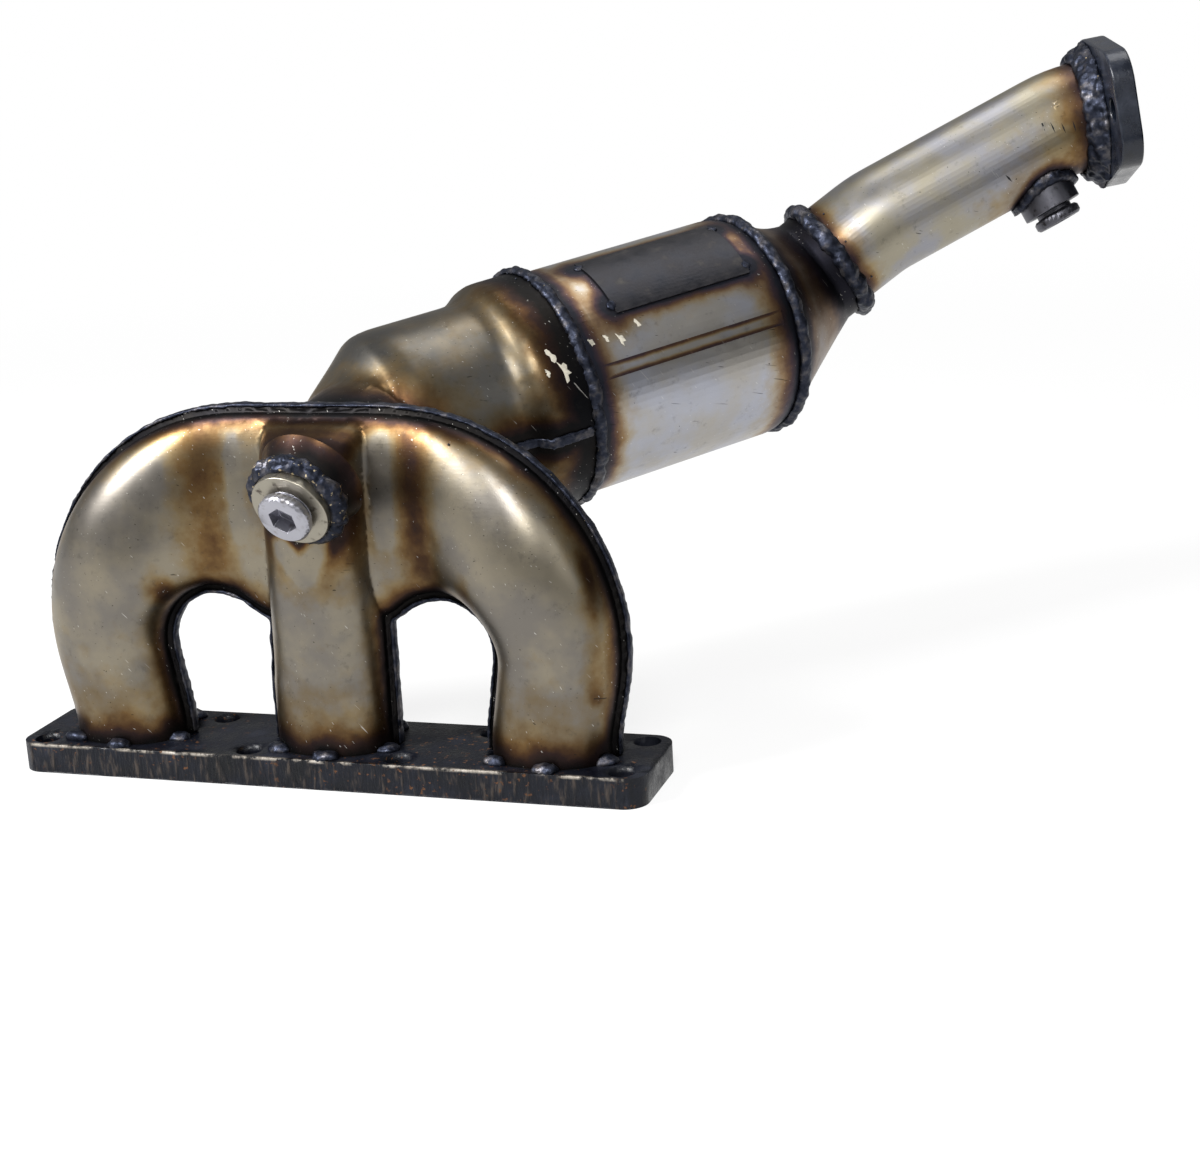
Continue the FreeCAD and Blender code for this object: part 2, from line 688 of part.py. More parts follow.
def turned_shape(corners, placement):
    points = [Vector(radius, 0, along) for radius, along in corners]
    face = Part.Face(Part.makePolygon(points + points[:1]))
    return placed(face.revolve(ORIGIN, Z_AXIS, 360), placement)


inlet_outside = turned_shape(inlet_profile(0), can_frame).fuse(throat_outside)
inlet_hollow = turned_shape(inlet_profile(-wall), can_frame).fuse(throat_inside)
collar_mouth = placed(Part.makeCylinder(float(size.can_radius), float(size.collar_length)),
                      can_frame.multiply(Placement(Vector(0, 0, -float(size.collar_length)),
                                                   Rotation())))
inlet_shells = inlet_outside.cut(inlet_hollow).cut(collar_mouth).cut(manifold_outside).cut(lips)
lap_frame = can_frame.multiply(Placement(ORIGIN, Rotation(Z_AXIS, float(size.lap_angle))))
lower_half = placed(Part.makeBox(FAR, FAR / 2, FAR),
                    lap_frame.multiply(Placement(Vector(-FAR / 2, 0, -FAR / 2), Rotation())))


def largest(shape):
    return max(shape.Solids, key=lambda item: item.Volume)


solid_feature("inlet_upper_shell", largest(inlet_shells.cut(lower_half)))
solid_feature("inlet_lower_shell", largest(inlet_shells.common(lower_half)))

lap_bead = turned_shape(inlet_profile(float(size.seam_bead)), can_frame)
lap_bead = lap_bead.common(placed(
    Part.makeBox(FAR, 2 * bead_half, float(size.inlet_length) - 2 * float(size.ring_bead)),
    lap_frame.multiply(Placement(Vector(0, -bead_half, -float(size.inlet_length)
                                        + float(size.ring_bead)), Rotation()))))
lap_bead = lap_bead.cut(inlet_outside).cut(manifold_outside)
solid_feature("inlet_front_seam_weld", largest(lap_bead))
turned_round = can_frame.multiply(Placement(ORIGIN, Rotation(Z_AXIS, 180))).multiply(
    can_frame.inverse())
rear_bead = lap_bead.copy()
rear_bead.Placement = turned_round.multiply(rear_bead.Placement)
solid_feature("inlet_rear_seam_weld",
              largest(rear_bead.cut(inlet_outside).cut(manifold_outside)))

joint_bead = float(size.joint_bead)
joint = rod(float(size.throat_radius) + joint_bead, throat_start, throat_target)
joint = joint.common(manifold_solid(joint_bead, runner_end)).common(rear_side)
joint = joint.cut(manifold_outside).cut(lips).cut(seam_beads)
joint = joint.cut(inlet_outside)
solid_feature("collector_joint_weld", largest(joint))


# ---------------------------------------------------------------- converter can
MOUTH_STEPS = 5  # straight pieces in the rounding of the can's outlet end


def can_place(along, angle=0.0):
    return can_frame.multiply(Placement(Vector(0, 0, along), Rotation(Z_AXIS, angle)))


def can_curve(outer, mouth):
    """Corners of the rounding at the can's outlet end."""
    length = float(size.can_length)
    turn = float(size.can_shoulder)
    drop = outer - mouth
    radius = (drop * drop + turn * turn) / (2 * drop)
    corners = []
    for step in range(MOUTH_STEPS + 1):
        along = turn * step / MOUTH_STEPS
        fall = radius - math.sqrt(radius * radius - along * along)
        corners.append((outer - fall, length - turn + along))
    return corners


mouth = float(size.can_radius - size.can_drop)
can_wall = float(size.can_wall)
can_outer = float(size.can_radius)
outer_curve = can_curve(can_outer, mouth)
inner_curve = can_curve(can_outer - can_wall, mouth - can_wall)
turned("converter_can", [(size.can_radius - size.can_wall, -size.can_overlap),
                         (size.can_radius, -size.can_overlap)]
       + outer_curve + inner_curve[::-1], can_frame)

seam_half = float(size.seam_width) / 2 / can_outer
seam_band = primitive("Cylinder", "can_seam_band",
                      can_place(float(size.seam_start),
                                float(size.seam_angle) - math.degrees(seam_half)),
                      Radius=size.can_radius + size.seam_height,
                      Height=size.can_length - size.can_shoulder - size.seam_stop)
seam_band.Angle = 2 * math.degrees(seam_half)
can_core = primitive("Cylinder", "can_core", can_place(-float(size.can_overlap)),
                     Radius=size.can_radius + size.weld_clear,
                     Height=size.can_length + size.can_overlap)
cut("can_seam_weld", seam_band, can_core)

plate_band = primitive("Cylinder", "plate_band",
                       can_place(float(size.plate_start), float(size.plate_from)),
                       Radius=size.can_radius + size.plate_thick, Height=size.plate_length,
                       Angle=size.plate_to - size.plate_from)
plate_core = primitive("Cylinder", "plate_core", can_place(-float(size.can_overlap)),
                       Radius=size.can_radius, Height=size.can_length + size.can_overlap)
cut("data_plate", plate_band, plate_core)

tacks = []
for along in (float(size.plate_start), float(size.plate_start + size.plate_length)):
    for angle in (float(size.plate_from + size.tack_inset),
                  float(size.plate_to - size.tack_inset)):
        tack = Part.makeSphere(float(size.tack_radius))
        stretch = FreeCAD.Matrix()
        stretch.scale(1, 1, float(size.plate_bead / size.tack_radius))
        tack = tack.transformGeometry(stretch)
        outwards = can_place(along, angle).multiply(
            Placement(Vector(can_outer, 0, 0), Rotation(Y_AXIS, 90)))
        tack.transformShape(outwards.toMatrix())
        tacks.append(tack.cut(placed(Part.makeCylinder(can_outer, FAR), can_place(-FAR / 2)))
                     .cut(placed(Part.makeCylinder(can_outer + float(size.plate_thick),
                                                   float(size.plate_length), ORIGIN, Z_AXIS,
                                                   float(size.plate_to - size.plate_from)),
                                 can_place(float(size.plate_start), float(size.plate_from)))))
solid_feature("data_plate_tack_welds", Part.makeCompound(tacks))

brick_radius = size.can_radius - size.can_wall - size.mat_thick
turned("support_mat", [(brick_radius, 0), (size.can_radius - size.can_wall, 0),
                       (size.can_radius - size.can_wall, size.mat_length),
                       (brick_radius, size.mat_length)],
       can_place(float(size.brick_start + (size.brick_length - size.mat_length) / 2)))
primitive("Cylinder", "catalyst_monolith", can_place(float(size.brick_start)),
          Radius=brick_radius, Height=size.brick_length)

# ---------------------------------------------------------------- outlet cone
neck_outer = size.pipe_radius + size.cone_wall


def ring_wire(radius, centre, axis):
    return Part.Wire(Part.makeCircle(radius, centre, axis))


def cone_solid(shrink, start, end):
    """The cone's rim, its taper and the neck, drawn in by the wall for the hollow."""
    rim = can_end + can_axis * start
    straight = can_end + can_axis * float(size.cone_straight)
    taper_end = neck_point - neck_axis * float(size.neck_length) * 0.5
    neck_end = neck_point + neck_axis * (float(size.neck_length) * 0.5 + end)
    wide = mouth - shrink
    thin = float(neck_outer) - shrink
    rim_part = rod(wide, rim, straight)
    taper = Part.makeLoft([ring_wire(wide, straight, can_axis),
                           ring_wire(thin, taper_end, neck_axis)], True, True)
    return rim_part.fuse(taper).fuse(rod(thin, taper_end, neck_end))


cone_outside = cone_solid(0, 0, 0)
cone_inside = cone_solid(float(size.cone_wall), -float(size.cone_wall), float(size.cone_wall))
solid_feature("outlet_cone", cone_outside.cut(cone_inside))


# ---------------------------------------------------------------- outlet pipe
def bent_path(start, first, second, end, radius):
    """Straight runs through two corners, with an arc of the same radius at each."""
    edges = []
    last = start
    spots = [start, first, second, end]
    for before, corner, after in zip(spots, spots[1:], spots[2:]):
        inward = (corner - before).normalize()
        outward = (after - corner).normalize()
        turn = inward.getAngle(outward)
        setback = radius * math.tan(turn / 2)
        arc_start = corner - inward * setback
        arc_end = corner + outward * setback
        bisector = (outward - inward).normalize()
        centre = corner + bisector * (radius / math.cos(turn / 2))
        arc_middle = centre - bisector * radius
        edges.append(Part.LineSegment(last, arc_start).toShape())
        edges.append(Part.Arc(arc_start, arc_middle, arc_end).toShape())
        last = arc_end
    edges.append(Part.LineSegment(last, end).toShape())
    return Part.Wire(edges)


def pipe_solid(radius, longer):
    path = bent_path(pipe_begin - neck_axis * longer, bend_one, bend_two,
                     pipe_finish + outlet_axis * longer, float(size.pipe_bend))
    start = Part.makeCircle(radius, pipe_begin - neck_axis * longer, neck_axis)
    return path.makePipeShell([Part.Wire(start)], True, True)


pipe_begin = neck_point - neck_axis * float(size.neck_length) * 0.5
pipe_finish = outlet_point + outlet_axis * float(size.outlet_thick - size.pipe_inset)
pipe_outside = pipe_solid(float(size.pipe_radius), 0)
pipe_inside = pipe_solid(float(size.pipe_radius - size.pipe_wall), 1)

main_up = frame_along(bend_one, main_axis)
rear_boss_spot = bend_one + main_axis * float(size.rear_boss_along)
down = main_up.Rotation.multVec(-X_AXIS)
rear_boss_axis = Rotation(main_axis, float(size.rear_boss_roll)).multVec(down)
rear_face = rear_boss_spot + rear_boss_axis * float(size.rear_boss_reach)
rear_frame = frame_along(rear_face, rear_boss_axis)
rear_height = size.rear_boss_reach - size.rear_boss_foot
rear_envelope = placed(Part.makeCylinder(float(size.rear_boss_radius), float(rear_height)),
                       rear_frame.multiply(Placement(Vector(0, 0, -float(rear_height)),
                                                     Rotation())))
solid_feature("outlet_pipe", pipe_outside.cut(pipe_inside).cut(rear_envelope))
boss("rear_sensor_boss", size.rear_boss_radius, rear_height, rear_frame)
plug("rear_sensor_plug", size.rear_boss_gap, rear_frame)
fillet = placed(Part.makeCylinder(float(size.rear_boss_radius) + joint_bead, float(rear_height)),
                rear_frame.multiply(Placement(Vector(0, 0, -float(rear_height)), Rotation())))
fillet = fillet.common(pipe_solid(float(size.pipe_radius) + joint_bead, 0))
fillet = fillet.cut(pipe_outside).cut(rear_envelope)
solid_feature("rear_boss_weld", largest(fillet))

# ---------------------------------------------------------------- outlet flange
outlet_frame = frame_along(outlet_point, outlet_axis).multiply(
    Placement(ORIGIN, Rotation(Z_AXIS, float(size.outlet_roll))))
corner_across = size.outlet_half_length - size.outlet_corner
corner_along = size.outlet_half_end - size.outlet_corner


def tangent_points():
    """Where the line touching a corner circle and the middle circle meets each of them."""
    across = float(corner_across)
    along = float(corner_along)
    small = float(size.outlet_corner)
    large = float(size.outlet_half_width)
    reach = math.hypot(across, along)
    lean = math.atan2(along, across) + math.acos((large - small) / reach)
    unit = (math.cos(lean), math.sin(lean))
    return ((along + small * unit[1], across + small * unit[0]),
            (large * unit[1], large * unit[0]))


corner_touch, middle_touch = tangent_points()
outlet_web = new_body("outlet_flange_web", outlet_frame)
sketch = new_sketch(outlet_web, "OutletWeb", "XY_Plane")
quarter = [(corner_along, size.outlet_half_length), corner_touch, middle_touch]
outline = []
for side, end, corners in ((1, 1, quarter), (1, -1, quarter[::-1]),
                           (-1, -1, quarter), (-1, 1, quarter[::-1])):
    outline += [(along * side, across * end) for along, across in corners]
sketch_polygon(sketch, outline)
pad(outlet_web, sketch, size.outlet_thick)
discs = [primitive("Cylinder", "outlet_middle_disc", outlet_frame,
                   Radius=size.outlet_half_width, Height=size.outlet_thick)]
for across in (-float(corner_across), float(corner_across)):
    for along in (-float(corner_along), float(corner_along)):
        corner_place = outlet_frame.multiply(Placement(Vector(along, across, 0), Rotation()))
        discs.append(primitive("Cylinder", "outlet_corner_disc", corner_place,
                               Radius=size.outlet_corner, Height=size.outlet_thick))
outlet_blank = fuse("outlet_blank", outlet_web, *discs)
drill_start = -float(size.outlet_thick)
drills = [primitive("Cylinder", "outlet_bore",
                    outlet_frame.multiply(Placement(Vector(0, 0, drill_start), Rotation())),
                    Radius=size.pipe_radius, Height=size.outlet_thick * 3)]
for across in (-float(size.outlet_pitch) / 2, float(size.outlet_pitch) / 2):
    drill_place = outlet_frame.multiply(Placement(Vector(0, across, drill_start), Rotation()))
    drills.append(primitive("Cylinder", "outlet_drill", drill_place,
                            Radius=size.outlet_hole / 2, Height=size.outlet_thick * 3))
cut("outlet_flange", outlet_blank, fuse("outlet_drills", *drills))

leg = float(size.outlet_fillet)
toe = float(size.outlet_toe)
pipe_side = float(size.pipe_radius)
pipe_bore = float(size.pipe_radius - size.pipe_wall)
weld = turned_shape([(pipe_bore, 0), (pipe_side + leg + toe, 0),
                     (pipe_side + leg * 0.8, -leg / 2), (pipe_side + leg * 0.4, -leg),
                     (pipe_side + toe, -leg - 1.5 * toe), (pipe_bore, -leg - 1.5 * toe)],
                    outlet_frame)
solid_feature("outlet_flange_weld", largest(weld.cut(pipe_outside)))

# ---------------------------------------------------------------- ring welds
ring_bead = float(size.ring_bead)


def ring_weld(name, centre, axis, radius, bead, *neighbours):
    torus = Part.makeTorus(radius, bead, centre, axis)
    for neighbour in neighbours:
        torus = torus.cut(neighbour)
    solid_feature(name, largest(torus))


can_solid = placed(Part.makeCylinder(can_outer, float(size.can_length)),
                   can_place(-float(size.can_overlap)))
ring_weld("inlet_ring_weld", ring_centre + can_axis * float(size.inlet_bead_ahead), can_axis,
          can_outer + float(size.inlet_bead_out), ring_bead, can_solid, inlet_outside,
          lap_bead, rear_bead)
can_envelope = turned_shape([(0, 0), (can_outer, 0)] + outer_curve
                            + [(0, float(size.can_length))], can_frame)
ring_weld("outlet_ring_weld", can_end + can_axis * float(size.outlet_bead_ahead), can_axis,
          mouth + float(size.outlet_bead_out), ring_bead, can_envelope, cone_outside)
neck_end = neck_point + neck_axis * float(size.neck_length) * 0.5
ring_weld("neck_weld", neck_end, neck_axis, float(neck_outer),
          float(size.neck_bead), cone_outside, pipe_outside)

# ---------------------------------------------------------------- export
NODES = [
    "head_flange", "manifold_front_shell", "manifold_rear_shell", "outer_seam_weld",
    "left_window_seam_weld", "right_window_seam_weld", "left_runner_tack_welds",
    "middle_runner_tack_welds", "right_runner_tack_welds", "front_sensor_boss",
    "front_boss_weld", "front_sensor_plug", "collector_joint_weld", "inlet_upper_shell",
    "inlet_lower_shell", "inlet_front_seam_weld", "inlet_rear_seam_weld", "inlet_ring_weld",
    "converter_can", "can_seam_weld", "data_plate", "data_plate_tack_welds", "support_mat",
    "catalyst_monolith", "outlet_ring_weld", "outlet_cone", "neck_weld", "outlet_pipe",
    "rear_sensor_boss", "rear_boss_weld", "rear_sensor_plug", "outlet_flange_weld",
    "outlet_flange",
]

doc.recompute()
for item in doc.Objects:
    if "Invalid" in item.State or "Error" in item.State:
        raise RuntimeError(f"{item.Name}: {item.State}")
os.makedirs("parts", exist_ok=True)
for name in NODES:
    shape = doc.getObject(name).Shape
    if shape.isNull() or not shape.isValid():
        raise RuntimeError(f"{name} has no valid shape")
    shape.exportStep(f"parts/{name}.step")
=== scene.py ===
import math
import random

import bmesh
import bpy
from mathutils import Matrix, Vector, noise
from mathutils.bvhtree import BVHTree


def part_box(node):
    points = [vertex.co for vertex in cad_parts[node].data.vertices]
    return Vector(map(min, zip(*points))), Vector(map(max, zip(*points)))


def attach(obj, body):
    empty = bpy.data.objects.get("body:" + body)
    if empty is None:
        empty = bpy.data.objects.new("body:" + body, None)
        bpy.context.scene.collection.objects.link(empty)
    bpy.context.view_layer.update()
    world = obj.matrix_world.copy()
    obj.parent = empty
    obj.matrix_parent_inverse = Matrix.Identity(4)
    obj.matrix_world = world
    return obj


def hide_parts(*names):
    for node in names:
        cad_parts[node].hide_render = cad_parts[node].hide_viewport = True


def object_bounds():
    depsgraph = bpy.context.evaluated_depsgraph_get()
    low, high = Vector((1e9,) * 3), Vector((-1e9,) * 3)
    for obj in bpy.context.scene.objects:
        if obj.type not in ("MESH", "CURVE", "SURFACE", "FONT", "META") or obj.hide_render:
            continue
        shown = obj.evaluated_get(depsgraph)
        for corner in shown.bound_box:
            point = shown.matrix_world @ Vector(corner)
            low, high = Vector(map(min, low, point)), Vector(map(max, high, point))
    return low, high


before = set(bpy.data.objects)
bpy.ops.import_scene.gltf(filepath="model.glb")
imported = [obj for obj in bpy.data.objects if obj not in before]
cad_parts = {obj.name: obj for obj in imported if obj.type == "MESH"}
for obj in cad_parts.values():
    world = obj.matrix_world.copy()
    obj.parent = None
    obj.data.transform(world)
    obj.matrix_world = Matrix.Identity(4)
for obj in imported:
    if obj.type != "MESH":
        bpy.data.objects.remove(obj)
cad_low, cad_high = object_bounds()

# ---------------------------------------------------------------- head flange
# A thick steel plate flame-cut to shape, drilled for the studs and with one oval
# port under each runner. It is black with old oil, and its front edge is torn and bright.
MM = 0.001
MERGE_GAP = 0.002 * MM
SPLIT_ROUNDS = 7


def cad_copy(node, name, longest):
    """A merged copy of a CAD node, with every edge cut until none is longer than asked."""
    mesh = bmesh.new()
    mesh.from_mesh(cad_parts[node].data)
    bmesh.ops.remove_doubles(mesh, verts=mesh.verts, dist=MERGE_GAP)
    for _ in range(SPLIT_ROUNDS):
        long_edges = [edge for edge in mesh.edges if edge.calc_length() > longest]
        if not long_edges:
            break
        bmesh.ops.subdivide_edges(mesh, edges=long_edges, cuts=1)
        bmesh.ops.triangulate(mesh, faces=[f for f in mesh.faces if len(f.verts) > 3])
    data = bpy.data.meshes.new(name)
    mesh.to_mesh(data)
    mesh.free()
    piece = bpy.data.objects.new(name, data)
    bpy.context.collection.objects.link(piece)
    return piece


def smooth_shade(piece, sharp_degrees):
    """Shades a piece round, but for its edges sharper than the angle."""
    piece.data.polygons.foreach_set("use_smooth", [True] * len(piece.data.polygons))
    piece.data.set_sharp_from_angle(angle=math.radians(sharp_degrees))


def put_on(piece, material, *nodes):
    """Gives a piece its finish, and lets it stand for the CAD nodes it was made from."""
    piece.data.materials.clear()
    piece.data.materials.append(material)
    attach(piece, "root")
    if nodes:
        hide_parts(*nodes)


class Finish:
    """A material under construction, with the few node shapes that these finishes share."""

    def __init__(self, name, metallic, coat=0.0, specular=0.35):
        self.material = bpy.data.materials.new(name)
        self.material.use_nodes = True
        self.nodes = self.material.node_tree.nodes
        self.links = self.material.node_tree.links
        self.shader = self.nodes["Principled BSDF"]
        self.shader.inputs["Metallic"].default_value = metallic
        self.shader.inputs["Coat Weight"].default_value = coat
        self.shader.inputs["Coat Roughness"].default_value = 0.2
        self.shader.inputs["Specular IOR Level"].default_value = specular
        self.place = self.nodes.new("ShaderNodeTexCoord").outputs["Object"]

    def join(self, value, socket):
        if isinstance(value, (int, float)):
            socket.default_value = value
        elif isinstance(value, tuple):
            socket.default_value = (*value, 1.0)
        else:
            self.links.new(value, socket)

    def grain(self, size, detail=3.0, roughness=0.55, stretch=(1, 1, 1), turn=(0, 0, 0)):
        """Noise of about that feature size in millimetres, drawn out along an axis."""
        mapping = self.nodes.new("ShaderNodeMapping")
        mapping.vector_type = "TEXTURE"
        mapping.inputs["Rotation"].default_value = turn
        mapping.inputs["Scale"].default_value = [factor * size * MM for factor in stretch]
        self.links.new(self.place, mapping.inputs["Vector"])
        node = self.nodes.new("ShaderNodeTexNoise")
        node.inputs["Scale"].default_value = 1.0
        node.inputs["Detail"].default_value = detail
        node.inputs["Roughness"].default_value = roughness
        self.links.new(mapping.outputs["Vector"], node.inputs["Vector"])
        return node.outputs["Fac"]

    def math(self, kind, first, second=0.0, third=0.0):
        node = self.nodes.new("ShaderNodeMath")
        node.operation = kind
        for value, socket in zip((first, second, third), node.inputs):
            self.join(value, socket)
        return node.outputs[0]

    def step(self, value, low, high, start=0.0, end=1.0):
        """A smooth change from start to end as value goes from low to high."""
        node = self.nodes.new("ShaderNodeMapRange")
        node.interpolation_type = "SMOOTHSTEP"
        self.join(value, node.inputs["Value"])
        node.inputs["From Min"].default_value = low
        node.inputs["From Max"].default_value = high
        node.inputs["To Min"].default_value = start
        node.inputs["To Max"].default_value = end
        return node.outputs["Result"]

    def ramp(self, value, *stops):
        node = self.nodes.new("ShaderNodeValToRGB")
        ramp = node.color_ramp
        ramp.elements.remove(ramp.elements[1])
        ramp.elements[0].position = stops[0][0]
        ramp.elements[0].color = (*stops[0][1], 1.0)
        for spot, colour in stops[1:]:
            ramp.elements.new(spot).color = (*colour, 1.0)
        self.links.new(value, node.inputs["Fac"])
        return node.outputs["Color"]

    def mix(self, share, first, second, kind="MIX"):
        node = self.nodes.new("ShaderNodeMix")
        node.data_type = "RGBA"
        node.blend_type = kind
        self.join(share, node.inputs["Factor"])
        self.join(first, node.inputs["A"])
        self.join(second, node.inputs["B"])
        return node.outputs["Result"]

    def axes(self):
        node = self.nodes.new("ShaderNodeSeparateXYZ")
        self.links.new(self.place, node.inputs["Vector"])
        return node.outputs["X"], node.outputs["Y"], node.outputs["Z"]

    def done(self, colour, roughness, height=None, depth=0.1):
        self.join(colour, self.shader.inputs["Base Color"])
        self.join(roughness, self.shader.inputs["Roughness"])
        if height is not None:
            bump = self.nodes.new("ShaderNodeBump")
            bump.inputs["Distance"].default_value = depth * MM
            bump.inputs["Strength"].default_value = 1.0
            self.links.new(height, bump.inputs["Height"])
            self.links.new(bump.outputs["Normal"], self.shader.inputs["Normal"])
        return self.material


def oily_plate():
    """Black oiled plate with a bright, torn front edge and a few rusty specks."""
    finish = Finish("oily_black_plate", 0.0, coat=0.08, specular=0.22)
    across, depth, height = finish.axes()
    cloud = finish.grain(14)
    fine = finish.grain(1.2, detail=5.0)
    streaks = finish.grain(3.5, detail=5.0, stretch=(0.6, 1, 3))
    black = finish.ramp(cloud, (0.3, (0.001, 0.0015, 0.003)), (0.55, (0.003, 0.004, 0.008)),
                        (0.75, (0.012, 0.014, 0.022)))
    low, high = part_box("head_flange")
    front = finish.step(depth, low[1] + 0.2 * MM, low[1] + 2.2 * MM, 1.0, 0.0)
    torn = finish.math("MULTIPLY", front, finish.step(streaks, 0.5, 0.7))
    colour = finish.mix(torn, black, (0.05, 0.04, 0.034))
    rim = finish.step(height, high[2] - 1.4 * MM, high[2] - 0.2 * MM)
    rim = finish.math("MULTIPLY", finish.math("MULTIPLY", rim, front),
                      finish.step(finish.grain(7, detail=5.0), 0.46, 0.6))
    colour = finish.mix(rim, colour, (0.40, 0.36, 0.31))
    rust = finish.math("MULTIPLY", finish.step(finish.grain(2.2), 0.62, 0.68),
                       finish.step(finish.grain(30), 0.45, 0.6))
    colour = finish.mix(rust, colour, (0.10, 0.045, 0.02))
    roughness = finish.step(finish.math("ADD", cloud, finish.math("MULTIPLY", fine, 0.4)),
                            0.5, 0.9, 0.26, 0.6)
    rough_face = finish.math("ADD", finish.math("MULTIPLY", fine, 0.5),
                             finish.math("MULTIPLY", streaks, finish.step(front, 0, 1, 0.4, 3.0)))
    return finish.done(colour, roughness, rough_face, 0.5)


head_flange = cad_copy("head_flange", "oily_head_flange", 6 * MM)
flange_low, flange_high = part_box("head_flange")
front_face = flange_low[1] + 0.4 * MM
torn_across, torn_up = 320, 90  # grains per metre of the torn face
torn_depth = 0.35
for vertex in head_flange.data.vertices:
    spot = vertex.co
    if spot.y < front_face and flange_low[2] < spot.z:
        rough = noise.fractal(Vector((spot.x * torn_across, spot.z * torn_up, 4.0)), 1.0, 2.0, 4)
        vertex.co.y += (torn_depth + torn_depth * rough) * MM
smooth_shade(head_flange, 35)
put_on(head_flange, oily_plate(), "head_flange")


# ---------------------------------------------------------------- stamped manifold shells
# Two pressings of stainless sheet, front and rear, that meet at a lip on the middle
# plane. Welding and exhaust heat have tinted the bare metal from straw to blue-black.
# Painted shade in the folds and valleys, and a painted highlight on two strips beside
# the middle runner, are stored with that tint.
def weld_tree(*nodes):
    """One search tree for the places where these welds are."""
    corners, faces = [], []
    for node in nodes:
        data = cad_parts[node].data
        base = len(corners)
        corners += [vertex.co.copy() for vertex in data.vertices]
        faces += [[base + index for index in face.vertices] for face in data.polygons]
    return BVHTree.FromPolygons(corners, faces)


def near_line(spot, start, end):
    """How far a spot is from a stretch of line."""
    along = end - start
    share = max(0.0, min(1.0, (spot - start).dot(along) / along.length_squared))
    return (spot - (start + along * share)).length


def heat_and_shade_marks(piece, trees=(), lines=(), untinted=()):
    """Stores how hot each spot became: 1 at a weld, falling off over its reach, and less
    where the tint has been removed by grinding. Some trees and lines lay painted shade into
    the same value, and some untinted lines lay a painted highlight."""
    marks = piece.data.attributes.new("weld_tint_and_shade", "FLOAT", "POINT")
    values = []
    for vertex in piece.data.vertices:
        spot = vertex.co
        tint_and_shade_level = 0.0
        for tree, reach, strength in trees:
            distance = tree.find_nearest(spot)[3]
            tint_and_shade_level = max(tint_and_shade_level, strength * math.exp(-((distance / (reach * MM)) ** 1.3)))
        for start, end, reach, strength in lines:
            distance = near_line(spot, Vector(start) * MM, Vector(end) * MM)
            tint_and_shade_level = max(tint_and_shade_level, strength * math.exp(-((distance / (reach * MM)) ** 2)))
        for start, end, reach in untinted:
            distance = near_line(spot, Vector(start) * MM, Vector(end) * MM)
            tint_and_shade_level *= 1 - math.exp(-((distance / (reach * MM)) ** 4))
        values.append(tint_and_shade_level)
    marks.data.foreach_set("value", values)


def tinted_sheet(name, cool, warm, shine, tint=0.0, streak_turn=(0, 0, 0), cloud_size=28):
    """Bare stainless sheet, tinted by the weld tint stored on the piece, with the painted
    shade and painted highlights that are stored in the same value.
    """
    finish = Finish(name, 1.0)
    # The stored value holds the weld tint together with painted shade and painted highlights.
    stored_tint_and_shade = finish.nodes.new("ShaderNodeAttribute")
    stored_tint_and_shade.attribute_name = "weld_tint_and_shade"
    cloud = finish.grain(cloud_size, detail=4.0)
    patch = finish.grain(9, detail=4.0)
    fine = finish.grain(0.8, detail=4.0)
    drawn = finish.grain(1.0, detail=3.0, stretch=(14, 1, 1), turn=streak_turn)
    level = finish.math("MULTIPLY_ADD", finish.math("SUBTRACT", patch, 0.5), 0.42,
                        stored_tint_and_shade.outputs["Fac"])
    level = finish.math("ADD", level, tint)
    bare = finish.mix(finish.step(cloud, 0.38, 0.64), cool, warm)
    hot = finish.ramp(level, (0.10, (1.0, 1.0, 1.0)), (0.26, (0.92, 0.78, 0.56)),
                      (0.40, (0.62, 0.42, 0.23)), (0.52, (0.32, 0.19, 0.12)),
                      (0.64, (0.15, 0.10, 0.11)), (0.82, (0.065, 0.068, 0.085)))
    colour = finish.mix(1.0, bare, hot, "MULTIPLY")
    smudge = finish.step(finish.grain(5, detail=5.0, roughness=0.7), 0.56, 0.72, 0.0, 0.5)
    colour = finish.mix(smudge, colour, finish.mix(0.5, colour, (0.03, 0.03, 0.03)))
    speck = finish.step(finish.grain(1.8, detail=2.0), 0.76, 0.79)
    colour = finish.mix(speck, colour, (0.02, 0.018, 0.016))
    scratch = finish.step(finish.grain(0.7, detail=1.0, stretch=(26, 1, 1),
                                       turn=(0.4, 0.9, 0.6)), 0.74, 0.78, 0.0, 0.5)
    colour = finish.mix(scratch, colour, (0.75, 0.73, 0.68))
    gouge = finish.step(finish.grain(0.9, detail=1.0, stretch=(16, 1, 1),
                                     turn=(1.3, 0.2, 0.9)), 0.74, 0.78, 0.0, 0.7)
    colour = finish.mix(gouge, colour, (0.02, 0.018, 0.016))
    roughness = finish.math("MULTIPLY_ADD", patch, 0.16, shine)
    roughness = finish.math("MULTIPLY_ADD", finish.step(level, 0.4, 0.9), 0.12, roughness)
    height = finish.math("ADD", finish.math("MULTIPLY", fine, 0.35),
                         finish.math("MULTIPLY", drawn, 0.5))
    return finish.done(colour, roughness, height, 0.035)


